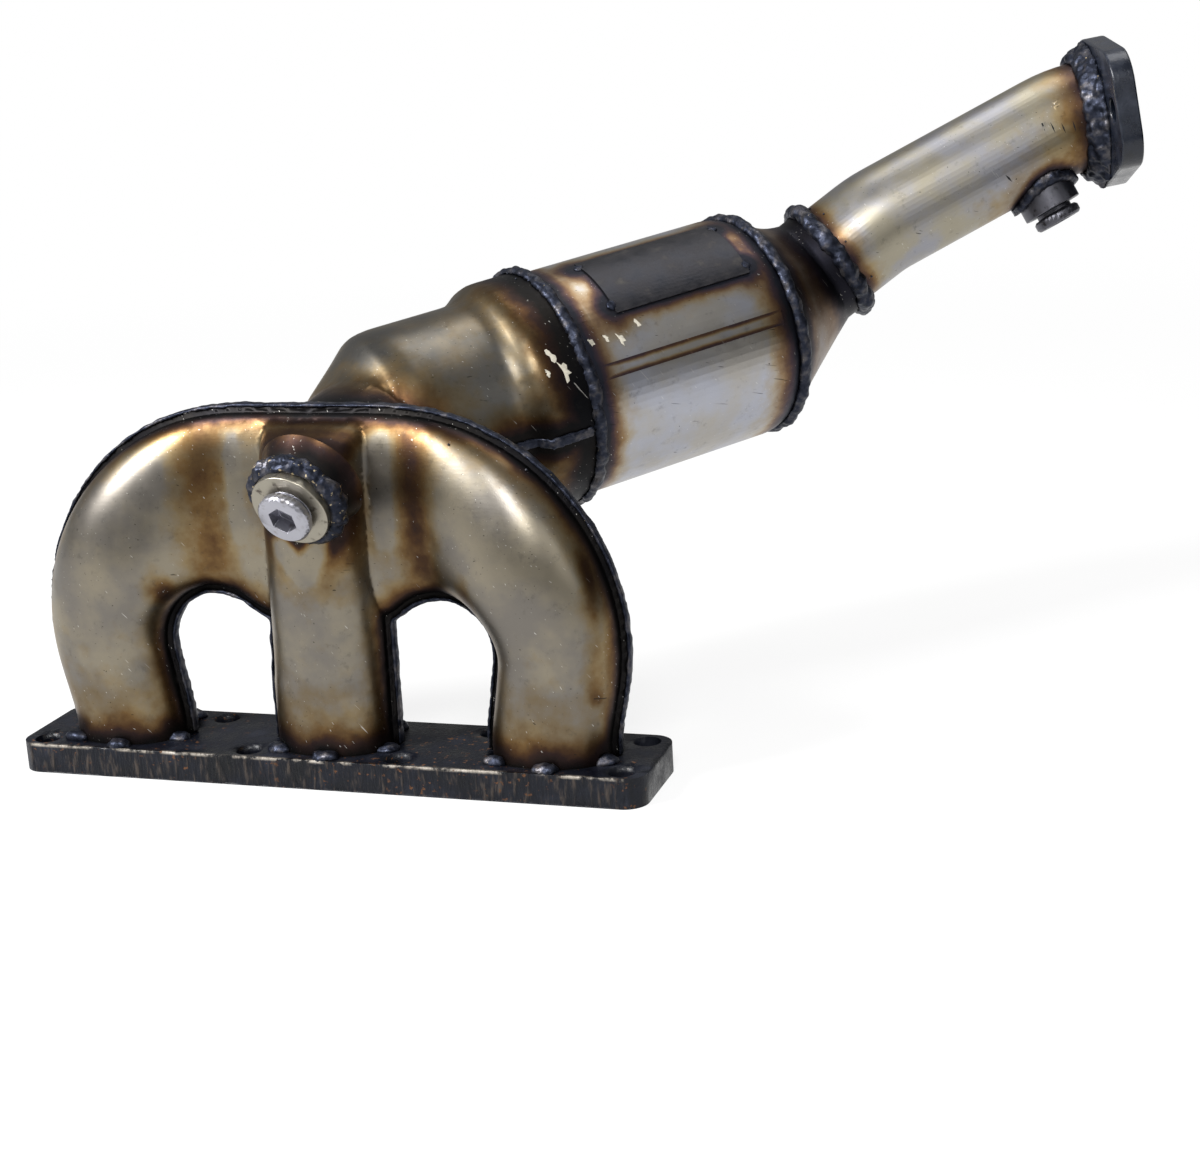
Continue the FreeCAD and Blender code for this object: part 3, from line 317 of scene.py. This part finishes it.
runner_sheet = tinted_sheet("tinted_runner_sheet", (0.18, 0.165, 0.145),
                            (0.255, 0.225, 0.17), 0.29)
seam_heat = weld_tree("outer_seam_weld", "left_window_seam_weld", "right_window_seam_weld")
boss_heat = weld_tree("front_boss_weld")
foot_heat = weld_tree("left_runner_tack_welds", "middle_runner_tack_welds",
                      "right_runner_tack_welds", "head_flange")
joint_heat = weld_tree("collector_joint_weld")
shell_trees = ((seam_heat, 9, 1.0), (boss_heat, 18, 0.85), (foot_heat, 12, 0.8),
               (foot_heat, 27, 0.42), (joint_heat, 9, 0.9))
valley_x = 44  # middle of the valley between an outer runner and the middle one
highlight_strip_x = 31  # strip beside the middle runner with a painted highlight, where the tint is taken away
# The crease lines are painted shade: they darken the folds and valleys the way the weld tint
# does.
crease_shade_lines = (  # painted shade in the folds beside the middle runner, and in the valleys next to them
    ((-valley_x, -11, 88), (-valley_x, -11, 138), 14, 0.46),
    ((-22, -15, 30), (-21, -20, 120), 4, 0.85),
    ((24, -20, 30), (25, -22, 124), 4.5, 0.9),
    ((valley_x, -11, 84), (valley_x, -11, 138), 10, 0.56),
    ((-44, -14, 140), (46, -14, 140), 8, 0.55),
    ((-22, -20, 137), (24, -20, 137), 9, 0.75),
    ((-70, -12, 84), (-62, -14, 70), 7, 0.6),
    ((66, -12, 84), (62, -14, 60), 6, 0.6),
    ((112, -12, 40), (112, -12, 100), 5, 0.6),
)
rubbed_spots_and_highlights = (  # where the tint is rubbed off again; the two strips beside the middle runner are a painted highlight
    ((-5, -28, 98), (3, -27, 87), 5.5),
    ((12, -29, 99), (4, -27, 88), 5),
    # Two strips painted light: a painted highlight beside the middle runner.
    ((-highlight_strip_x, -10, 138), (-highlight_strip_x, -11, 97), 3.5),
    ((highlight_strip_x, -10, 138), (highlight_strip_x, -11, 97), 4.5),
)


CUT_EDGE = math.radians(60)


def soften(piece, chosen, rounds):
    """Rounds the folds of a pressing at the chosen spots, and keeps its cut edges."""
    mesh = bmesh.new()
    mesh.from_mesh(piece.data)
    soft = [vertex for vertex in mesh.verts if chosen(vertex.co) and not any(
        edge.calc_face_angle(0) > CUT_EDGE for edge in vertex.link_edges)]
    for _ in range(rounds):
        bmesh.ops.smooth_vert(mesh, verts=soft, factor=0.5,
                              use_axis_x=True, use_axis_y=True, use_axis_z=True)
    mesh.to_mesh(piece.data)
    mesh.free()


boss_low, boss_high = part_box("front_sensor_boss")
boss_middle = (Vector(boss_low) + Vector(boss_high)) / 2


def near_middle_runner(spot):
    return (abs(spot.y) > 5 * MM and abs(spot.x) < 50 * MM and spot.z > 40 * MM
            and (spot - boss_middle).length > 19 * MM)


for side in ("front", "rear"):
    shell = cad_copy(f"manifold_{side}_shell", f"{side}_runner_shell", 3.5 * MM)
    soften(shell, near_middle_runner, 30)
    heat_and_shade_marks(shell, shell_trees, crease_shade_lines, rubbed_spots_and_highlights)
    smooth_shade(shell, 40)
    put_on(shell, runner_sheet, f"manifold_{side}_shell")


# ---------------------------------------------------------------- weld beads
# Weld metal laid by hand along each joint: rippled, uneven, blue-black with oxide,
# with small bright spots where slag has flaked off.
def weld_metal(name, flakes):
    """Oxidised weld metal; more flakes leave more of it bright and golden."""
    finish = Finish(name, 0.85)
    ripple = finish.grain(2.4, detail=3.0)
    fine = finish.grain(0.6, detail=4.0)
    colour = finish.ramp(finish.grain(5), (0.3, (0.008, 0.010, 0.017)),
                         (0.5, (0.026, 0.030, 0.046)), (0.68, (0.09, 0.085, 0.09)))
    bright = finish.step(finish.grain(2.0, detail=3.0), 0.72 - flakes, 0.78 - flakes)
    colour = finish.mix(bright, colour, (0.50, 0.41, 0.26))
    roughness = finish.step(ripple, 0.3, 0.7, 0.34, 0.6)
    return finish.done(colour, roughness,
                       finish.math("ADD", ripple, finish.math("MULTIPLY", fine, 0.4)), 0.2)


dark_weld = weld_metal("dark_weld_metal", 0.0)
flaked_weld = weld_metal("flaked_weld_metal", 0.10)


LUMPS, RIPPLES = 190, 480  # waves per metre along a bead


def laid_bead(node, name, cell, swell, ripple, material=dark_weld):
    """A weld copied from the CAD bead, remeshed finely and pushed about like laid metal."""
    piece = cad_copy(node, name, 4 * MM)
    remesh = piece.modifiers.new("even_mesh", "REMESH")
    remesh.mode = "VOXEL"
    remesh.voxel_size = cell * MM
    depsgraph = bpy.context.evaluated_depsgraph_get()
    data = bpy.data.meshes.new_from_object(piece.evaluated_get(depsgraph))
    piece.modifiers.clear()
    piece.data = data
    normals = [vertex.normal.copy() for vertex in data.vertices]
    for vertex, normal in zip(data.vertices, normals):
        spot = vertex.co
        lump = noise.fractal(spot * LUMPS, 1.0, 2.0, 2)
        wave = noise.noise(spot * RIPPLES)
        vertex.co += normal * ((swell * (0.25 + lump) + ripple * wave) * MM)
    mesh = bmesh.new()
    mesh.from_mesh(data)
    for _ in range(2):
        bmesh.ops.smooth_vert(mesh, verts=mesh.verts, factor=0.5,
                              use_axis_x=True, use_axis_y=True, use_axis_z=True)
    mesh.to_mesh(data)
    mesh.free()
    smooth_shade(piece, 180)
    put_on(piece, material, node)


laid_bead("outer_seam_weld", "outer_seam_bead", 0.7, 0.4, 0.2)
for side in ("left", "right"):
    laid_bead(f"{side}_window_seam_weld", f"{side}_window_bead", 0.7, 0.35, 0.2)
for side in ("left", "middle", "right"):
    laid_bead(f"{side}_runner_tack_welds", f"{side}_runner_tacks", 0.5, 0.9, 0.4)
laid_bead("collector_joint_weld", "collector_joint_bead", 0.8, 0.6, 0.3)
laid_bead("front_boss_weld", "front_boss_bead", 0.6, 1.5, 0.9, flaked_weld)
for side in ("front", "rear"):
    laid_bead(f"inlet_{side}_seam_weld", f"inlet_{side}_bead", 0.6, 0.5, 0.3)
for joint, cell, swell, ripple in (("inlet_ring", 0.8, 0.9, 0.5), ("outlet_ring", 0.8, 0.7, 0.5),
                                   ("neck", 0.8, 1.3, 0.6), ("rear_boss", 0.6, 0.8, 0.5),
                                   ("outlet_flange", 0.8, 1.8, 0.8)):
    laid_bead(f"{joint}_weld", f"{joint}_bead", cell, swell, ripple)


# ---------------------------------------------------------------- sensor bosses and plugs
# Turned steel bosses with a blanking screw plug in each, head standing off on an
# undercut and with a hexagon socket. The front ones are brighter, the rear ones sooty.
WHOLE_COPY = 1.0
SAME_PLANE = math.radians(1.5)


def flat_faced_copy(node, name):
    """A merged copy of a CAD node whose flat faces are whole again, ready for a bevel."""
    piece = cad_copy(node, name, WHOLE_COPY)
    mesh = bmesh.new()
    mesh.from_mesh(piece.data)
    bmesh.ops.dissolve_limit(mesh, angle_limit=SAME_PLANE, verts=mesh.verts,
                             edges=mesh.edges)
    mesh.to_mesh(piece.data)
    mesh.free()
    return piece


def bevel_edges(piece, width, segments):
    bevel = piece.modifiers.new("worn_edges", "BEVEL")
    bevel.width = width
    bevel.segments = segments
    bevel.limit_method = "ANGLE"
    bevel.angle_limit = math.radians(50)


def turned_steel(name, colour, dirt, shine):
    """Machined steel, darker where dirt clings to it."""
    finish = Finish(name, 1.0)
    cloud = finish.grain(4, detail=4.0)
    shade = finish.mix(finish.step(cloud, 0.56, 0.72), colour, dirt)
    fine = finish.grain(0.7, detail=3.0)
    roughness = finish.math("MULTIPLY_ADD", cloud, 0.22, shine)
    return finish.done(shade, roughness, fine, 0.05)


bright_steel = turned_steel("bright_plug_steel", (0.40, 0.40, 0.44), (0.26, 0.25, 0.25), 0.26)
boss_steel = turned_steel("boss_steel", (0.33, 0.305, 0.25), (0.10, 0.085, 0.07), 0.26)
sooty_steel = turned_steel("sooty_boss_steel", (0.10, 0.10, 0.115), (0.03, 0.028, 0.03), 0.3)
for node, name, steel in (("front_sensor_boss", "front_boss", boss_steel),
                          ("rear_sensor_boss", "rear_boss", sooty_steel),
                          ("front_sensor_plug", "front_plug", bright_steel),
                          ("rear_sensor_plug", "rear_plug", sooty_steel)):
    turned = flat_faced_copy(node, name)
    bevel_edges(turned, 0.35 * MM, 2)
    smooth_shade(turned, 35)
    put_on(turned, steel, node)


# ---------------------------------------------------------------- inlet shells
# Upper and lower pressings that gather the gas from the collector into the can,
# lapped and welded along both sides, dark olive with gold near the ring weld.
inlet_sheet = tinted_sheet("tinted_inlet_sheet", (0.13, 0.125, 0.115), (0.20, 0.17, 0.125), 0.30,
                           tint=0.06)
lap_heat = weld_tree("inlet_front_seam_weld", "inlet_rear_seam_weld")
ring_heat = weld_tree("inlet_ring_weld")
for half in ("upper", "lower"):
    shell = cad_copy(f"inlet_{half}_shell", f"{half}_inlet_shell", 3.5 * MM)
    soften(shell, lambda spot: True, 8)
    heat_and_shade_marks(shell, ((lap_heat, 9, 0.95), (ring_heat, 15, 1.0), (joint_heat, 16, 0.9)))
    smooth_shade(shell, 30)
    put_on(shell, inlet_sheet, f"inlet_{half}_shell")


# ---------------------------------------------------------------- converter can
# A rolled stainless tube closed by one lengthwise seam, with the catalyst brick held
# inside it by a fibre mat. A small dark data plate is tacked to its top.
can_sheet = tinted_sheet("tinted_can_sheet", (0.40, 0.41, 0.46), (0.40, 0.38, 0.35), 0.30)
outlet_ring_heat = weld_tree("outlet_ring_weld")
plate_heat = weld_tree("data_plate_tack_welds")
# Painted shade: the can is darkened for 4.5 mm around the data plate's rim, beside its edge.
plate_rim_shade = weld_tree("data_plate")
can = cad_copy("converter_can", "can_tube", 4 * MM)
heat_and_shade_marks(can, ((ring_heat, 8, 1.0), (outlet_ring_heat, 11, 0.95), (plate_heat, 9, 1.0),
                 (plate_rim_shade, 4.5, 0.9)))
smooth_shade(can, 30)
put_on(can, can_sheet, "converter_can")

seam = cad_copy("can_seam_weld", "can_seam", 1.2 * MM)
seam_corners = seam.data.vertices
seam_middle = sum((vertex.co for vertex in seam_corners), Vector()) / len(seam_corners)
brick_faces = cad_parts["catalyst_monolith"].data.polygons
can_axis = max(brick_faces, key=lambda face: face.area).normal.copy()  # square to an end face
brick_low, brick_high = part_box("catalyst_monolith")
outward = seam_middle - (Vector(brick_low) + Vector(brick_high)) / 2
sideways = can_axis.cross(outward).normalized()
half_seam = 2.9
half_length = 60
seam_edges = []
for shift in (-half_seam, half_seam):
    middle = (seam_middle + sideways * shift * MM) / MM
    reach_along = can_axis * half_length
    seam_edges.append((middle - reach_along, middle + reach_along, 1.7, 0.62))
heat_and_shade_marks(seam, ((ring_heat, 8, 1.0), (outlet_ring_heat, 12, 0.95)), seam_edges)
smooth_shade(seam, 30)
put_on(seam, can_sheet, "can_seam_weld")


def plate_steel():
    finish = Finish("dark_data_plate", 0.9)
    cloud = finish.grain(8, detail=4.0)
    colour = finish.ramp(cloud, (0.3, (0.022, 0.023, 0.028)), (0.6, (0.040, 0.039, 0.043)),
                         (0.75, (0.075, 0.07, 0.065)))
    return finish.done(colour, finish.step(cloud, 0.3, 0.7, 0.34, 0.5),
                       finish.grain(1.5, detail=3.0), 0.08)


data_plate = cad_copy("data_plate", "bare_data_plate", 3 * MM)
smooth_shade(data_plate, 30)
put_on(data_plate, plate_steel(), "data_plate")
laid_bead("data_plate_tack_welds", "data_plate_tacks", 0.35, 0.25, 0.2)


def fibre_mat():
    finish = Finish("ceramic_fibre_mat", 0.0)
    strands = finish.grain(1.5, detail=5.0, stretch=(5, 1, 1))
    colour = finish.ramp(strands, (0.3, (0.45, 0.42, 0.36)), (0.7, (0.78, 0.76, 0.70)))
    return finish.done(colour, 0.95, strands, 0.4)


def honeycomb():
    """Extruded ceramic with fine square channels, drawn as a grid on its two ends, the channels
    dark with painted shade.
    """
    finish = Finish("honeycomb_ceramic", 0.0)
    cells = finish.nodes.new("ShaderNodeTexVoronoi")
    cells.inputs["Scale"].default_value = 1 / (1.3 * MM)
    cells.inputs["Randomness"].default_value = 0.0
    finish.links.new(finish.place, cells.inputs["Vector"])
    walls = finish.step(cells.outputs["Distance"], 0.35, 0.5)
    # The channels are painted dark: painted shade in the holes, with the walls in the ceramic's
    # own colour.
    colour = finish.mix(walls, (0.05, 0.04, 0.03), (0.60, 0.50, 0.36))
    return finish.done(colour, 0.9, walls, 0.3)


put_on(cad_copy("support_mat", "fibre_support_mat", 8 * MM), fibre_mat(), "support_mat")
put_on(cad_copy("catalyst_monolith", "catalyst_brick", 8 * MM), honeycomb(),
       "catalyst_monolith")


# ---------------------------------------------------------------- outlet cone and pipe
# A pressed cone that narrows the can to the pipe, blued by its two welds, and a bent
# tube that carries the gas up to the outlet flange.
cone_sheet = tinted_sheet("tinted_cone_sheet", (0.20, 0.19, 0.21), (0.20, 0.165, 0.14), 0.28,
                          tint=0.14)
neck_heat = weld_tree("neck_weld")
cone = cad_copy("outlet_cone", "outlet_cone_shell", 3 * MM)
heat_and_shade_marks(cone, ((neck_heat, 14, 1.0), (outlet_ring_heat, 9, 0.8)))
smooth_shade(cone, 30)
put_on(cone, cone_sheet, "outlet_cone")

pipe_sheet = tinted_sheet("tinted_pipe", (0.30, 0.30, 0.325), (0.34, 0.31, 0.24), 0.32)
flange_heat = weld_tree("outlet_flange_weld")
rear_boss_heat = weld_tree("rear_boss_weld")
pipe = cad_copy("outlet_pipe", "bent_outlet_pipe", 4 * MM)
heat_and_shade_marks(pipe, ((neck_heat, 6, 0.75), (flange_heat, 13, 0.62), (rear_boss_heat, 6, 0.75),
                  (rear_boss_heat, 20, 0.34)))
smooth_shade(pipe, 30)
put_on(pipe, pipe_sheet, "outlet_pipe")


# ---------------------------------------------------------------- outlet flange
# A thick two-bolt plate of blackened steel, semi-gloss with light wear on its rim.
def blackened():
    finish = Finish("blackened_flange_steel", 0.1, coat=0.3)
    cloud = finish.grain(10)
    colour = finish.ramp(cloud, (0.35, (0.005, 0.007, 0.013)), (0.6, (0.014, 0.018, 0.029)),
                         (0.8, (0.035, 0.040, 0.058)))
    return finish.done(colour, finish.step(cloud, 0.3, 0.7, 0.2, 0.42),
                       finish.grain(1.2, detail=4.0), 0.15)


outlet_flange = flat_faced_copy("outlet_flange", "outlet_flange_plate")
bevel_edges(outlet_flange, 0.8 * MM, 3)
smooth_shade(outlet_flange, 50)
put_on(outlet_flange, blackened(), "outlet_flange")


# ---------------------------------------------------------------- weld spatter
# Small beads of weld metal that froze on the sheet beside the welds.
random.seed(7)
spatter = bmesh.new()
for node, host_name, count, reach in (("outer_seam_weld", "manifold_front_shell", 16, 14),
                                      ("front_boss_weld", "manifold_front_shell", 10, 10),
                                      ("inlet_ring_weld", "inlet_upper_shell", 12, 12),
                                      ("outlet_ring_weld", "converter_can", 6, 8),
                                      ("neck_weld", "outlet_pipe", 8, 9),
                                      ("outlet_flange_weld", "outlet_pipe", 8, 9)):
    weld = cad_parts[node].data
    host = weld_tree(host_name)
    for _ in range(count):
        start = weld.vertices[random.randrange(len(weld.vertices))].co
        aim = Vector([random.uniform(-reach, reach) * MM for _ in range(3)])
        spot, normal, _, _ = host.find_nearest(start + aim)
        size = random.uniform(0.3, 0.75) * MM
        bmesh.ops.create_icosphere(spatter, subdivisions=1, radius=size,
                                   matrix=Matrix.Translation(spot + normal * size * 0.3))
drops = bpy.data.meshes.new("weld_spatter")
spatter.to_mesh(drops)
spatter.free()
spatter_piece = bpy.data.objects.new("weld_spatter", drops)
bpy.context.collection.objects.link(spatter_piece)
smooth_shade(spatter_piece, 180)
put_on(spatter_piece, dark_weld)


# ---------------------------------------------------------------- pen marks and flux
# A fitter's short pen strokes on the pipe, and dried pale flux spilt beside the inlet
# ring weld. Both are films that lie on the sheet.
def film_material(name, colour, roughness):
    """A thin film, blotched with a darker shade of its own colour."""
    finish = Finish(name, 0.0)
    shade = finish.mix(finish.grain(1.5), colour, tuple(channel * 0.5 for channel in colour))
    return finish.done(shade, roughness)


def film_piece(name, rings, host, lift, material):
    """Flat shapes laid on a host surface, each ring of corners closed about its middle."""
    mesh = bmesh.new()
    for ring in rings:
        laid = []
        for corner in ring:
            spot, normal, _, _ = host.find_nearest(corner)
            laid.append(spot + normal * lift)
        middle, normal, _, _ = host.find_nearest(sum(laid, Vector()) / len(laid))
        hub = mesh.verts.new(middle + normal * lift)
        rim = [mesh.verts.new(corner) for corner in laid]
        for first, second in zip(rim, rim[1:] + rim[:1]):
            face = mesh.faces.new((hub, first, second))
            face.normal_update()
            if face.normal.dot(normal) < 0:
                face.normal_flip()
    data = bpy.data.meshes.new(name)
    mesh.to_mesh(data)
    mesh.free()
    piece = bpy.data.objects.new(name, data)
    bpy.context.collection.objects.link(piece)
    smooth_shade(piece, 180)
    put_on(piece, material)


def front_of(host, across, up):
    """The nearest spot of a host as seen along +Y."""
    start = Vector((across * MM, cad_low.y - MM, up * MM))
    return host.ray_cast(start, Vector((0, 1, 0)))[0]


def stroke(host, top, bottom, width):
    """A thin diamond from its top to its bottom, both given across and up."""
    start, end = front_of(host, *top), front_of(host, *bottom)
    side = (end - start).cross(Vector((0, 1, 0))).normalized() * width * MM / 2
    middle = (start + end) / 2
    return (start, middle - side, end, middle + side)


def puddle(host, across, up, size):
    """A ragged round outline about a spot, given across and up."""
    corners = []
    middle = front_of(host, across, up)
    for step in range(14):
        angle = math.tau * step / 14
        radius = size * MM * random.uniform(0.55, 1.2)
        corners.append(middle + Vector((math.cos(angle) * radius, 0, math.sin(angle) * radius)))
    return corners


# Four strokes in a row just before the flange weld, fanned a little and set on a shallow
# arc, and one stroke by itself further down the pipe.
pipe_surface = weld_tree("outlet_pipe")
flange_weld_low, flange_weld_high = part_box("outlet_flange_weld")
row_x, row_z = flange_weld_low[0] / MM - 3.5, flange_weld_high[2] / MM - 33
top_pitch, bottom_pitch = 4.6, 4.2
top_arc, bottom_arc = 0.75, 0.3
lean, drop = 2.7, 4.6
strokes = []
for place, width in enumerate((0.9, 0.8, 0.8, 0.8)):
    from_lowest = (place - 2) ** 2
    top = (row_x + top_pitch * place, row_z + top_arc * from_lowest)
    bottom = (row_x + lean + bottom_pitch * place, row_z - drop + bottom_arc * from_lowest)
    strokes.append(stroke(pipe_surface, top, bottom, width))
lone_x, lone_z = row_x - 13.5, row_z - 20.5
strokes.append(stroke(pipe_surface, (lone_x, lone_z), (lone_x + lean, lone_z - 3.5), 1.0))
film_piece("pen_strokes", strokes, pipe_surface, 0.05 * MM,
           film_material("pen_ink", (0.01, 0.01, 0.012), 0.4))

# Three blots on the inlet shell and four on the can, given from the middle of the ring weld.
flux_surface = weld_tree("inlet_upper_shell", "converter_can")
ring_low, ring_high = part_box("inlet_ring_weld")
ring_x, ring_z = (ring_low[0] + ring_high[0]) / 2 / MM, (ring_low[2] + ring_high[2]) / 2 / MM
blots = [puddle(flux_surface, ring_x + across, ring_z + up, size)
         for across, up, size in ((20, 21, 3.2), (25, 15, 4.2), (20, 15, 2.0),
                                  (32, 24, 2.6), (42, 24, 3.2), (47, 29, 2.4), (37, 25, 2.2))]
film_piece("dried_flux", blots, flux_surface, 0.08 * MM,
           film_material("dried_flux", (0.62, 0.58, 0.48), 0.7))


# ---------------------------------------------------------------- floor, light and camera
# A pale floor and backdrop, soft lamps, and dark boards that give the metal something
# to reflect.
def pale_stage():
    """White to the camera and in reflections, fading to plain white far away, but the
    part near the object is lit like any surface and keeps the shadow."""
    material = bpy.data.materials.new("pale_stage")
    material.use_nodes = True
    nodes, links = material.node_tree.nodes, material.node_tree.links
    surface = nodes["Principled BSDF"]
    surface.inputs["Roughness"].default_value = 0.9
    surface.inputs["Specular IOR Level"].default_value = 0.0
    place = nodes.new("ShaderNodeTexCoord")
    distance = nodes.new("ShaderNodeVectorMath")
    distance.operation = "LENGTH"
    links.new(place.outputs["Object"], distance.inputs[0])
    far = nodes.new("ShaderNodeMapRange")
    far.interpolation_type = "SMOOTHSTEP"
    far.inputs["From Min"].default_value = 0.35
    far.inputs["From Max"].default_value = 1.6
    far.inputs["To Min"].default_value = 0.84
    far.inputs["To Max"].default_value = 1.0
    links.new(distance.outputs["Value"], far.inputs["Value"])
    rest = nodes.new("ShaderNodeMath")
    rest.operation = "SUBTRACT"
    rest.inputs[0].default_value = 1.0
    links.new(far.outputs["Result"], rest.inputs[1])
    links.new(rest.outputs[0], surface.inputs["Base Color"])
    rays = nodes.new("ShaderNodeLightPath")
    seen = nodes.new("ShaderNodeMath")
    seen.operation = "ADD"
    links.new(rays.outputs["Is Camera Ray"], seen.inputs[0])
    links.new(rays.outputs["Is Glossy Ray"], seen.inputs[1])
    seen_through = nodes.new("ShaderNodeMath")
    seen_through.operation = "ADD"
    seen_through.use_clamp = True
    links.new(seen.outputs[0], seen_through.inputs[0])
    links.new(rays.outputs["Is Transmission Ray"], seen_through.inputs[1])
    glow = nodes.new("ShaderNodeMath")
    glow.operation = "MULTIPLY"
    links.new(far.outputs["Result"], glow.inputs[0])
    links.new(seen_through.outputs[0], glow.inputs[1])
    surface.inputs["Emission Color"].default_value = (1, 1, 1, 1)
    links.new(glow.outputs[0], surface.inputs["Emission Strength"])
    return material


floor_mesh = bmesh.new()
bmesh.ops.create_grid(floor_mesh, x_segments=1, y_segments=1, size=6.0)
floor_data = bpy.data.meshes.new("floor")
floor_mesh.to_mesh(floor_data)
floor_mesh.free()
floor = bpy.data.objects.new("floor", floor_data)
bpy.context.collection.objects.link(floor)
floor.location.z = cad_low.z - 0.05 * MM
floor.data.materials.append(pale_stage())


def dark_board(name, corners):
    """A dark board out of the picture, seen only in the metal's reflections."""
    data = bpy.data.meshes.new(name)
    data.from_pydata([Vector(corner) for corner in corners], [], [(0, 1, 2, 3)])
    board = bpy.data.objects.new(name, data)
    bpy.context.collection.objects.link(board)
    material = bpy.data.materials.new(name)
    material.use_nodes = True
    surface = material.node_tree.nodes["Principled BSDF"]
    surface.inputs["Base Color"].default_value = (0.03, 0.03, 0.03, 1)
    surface.inputs["Roughness"].default_value = 0.9
    data.materials.append(material)
    board.visible_camera = False
    board.visible_diffuse = False
    board.visible_shadow = False


dark_board("front_board", ((-0.95, -0.68, 0.01), (1.35, 0.05, 0.01), (1.75, -1.15, 0.01),
                           (-0.55, -1.9, 0.01)))
dark_board("right_board", ((0.75, -0.2, 0.0), (1.1, 0.9, 0.0), (1.1, 0.9, 0.45),
                           (0.75, -0.2, 0.45)))


def world_light(strength):
    """White to the camera, and much dimmer as a light."""
    world = bpy.data.worlds.new("studio")
    bpy.context.scene.world = world
    world.use_nodes = True
    nodes, links = world.node_tree.nodes, world.node_tree.links
    rays = nodes.new("ShaderNodeLightPath")
    seen = nodes.new("ShaderNodeMath")
    seen.operation = "MAXIMUM"
    links.new(rays.outputs["Is Camera Ray"], seen.inputs[0])
    links.new(rays.outputs["Is Transmission Ray"], seen.inputs[1])
    level = nodes.new("ShaderNodeMapRange")
    links.new(seen.outputs[0], level.inputs["Value"])
    level.inputs["To Min"].default_value = strength
    level.inputs["To Max"].default_value = 1.0
    background = nodes["Background"]
    background.inputs["Color"].default_value = (1, 1, 1, 1)
    links.new(level.outputs["Result"], background.inputs["Strength"])


world_light(0.26)


def soft_lamp(name, place, aim, width, height, power):
    """A rectangular lamp that faces a spot."""
    lamp = bpy.data.lights.new(name, "AREA")
    lamp.shape = "RECTANGLE"
    lamp.size = width
    lamp.size_y = height
    lamp.energy = power
    holder = bpy.data.objects.new(name, lamp)
    holder.location = place
    holder.rotation_euler = (Vector(aim) - Vector(place)).to_track_quat("-Z", "Y").to_euler()
    bpy.context.collection.objects.link(holder)


middle = (cad_low + cad_high) / 2
soft_lamp("key", (-0.85, -0.75, 1.0), middle, 0.45, 0.45, 38)
soft_lamp("front", (0.3, -1.0, 1.0), middle, 0.35, 0.35, 12)
soft_lamp("fill", (1.3, -0.9, 0.7), middle, 0.5, 0.9, 2)
soft_lamp("top", (0.2, 0.5, 1.3), middle, 0.9, 0.5, 5)

camera_data = bpy.data.cameras.new("camera")
camera = bpy.data.objects.new("camera", camera_data)
bpy.context.collection.objects.link(camera)
camera_data.sensor_fit = "HORIZONTAL"
camera_data.sensor_width = 36.0
camera_data.lens = 65.0
camera.location = (0.3611, -0.7444, 0.2971)
ahead = Vector((-0.305, 0.9152, -0.2635)).normalized()
upward = Vector((-0.0296, 0.2675, 0.9631))
upward = (upward - ahead * upward.dot(ahead)).normalized()
rightward = ahead.cross(upward)
camera.rotation_euler = Matrix((rightward, upward, -ahead)).transposed().to_euler()
bpy.context.scene.camera = camera
bpy.context.scene.view_settings.view_transform = "Standard"
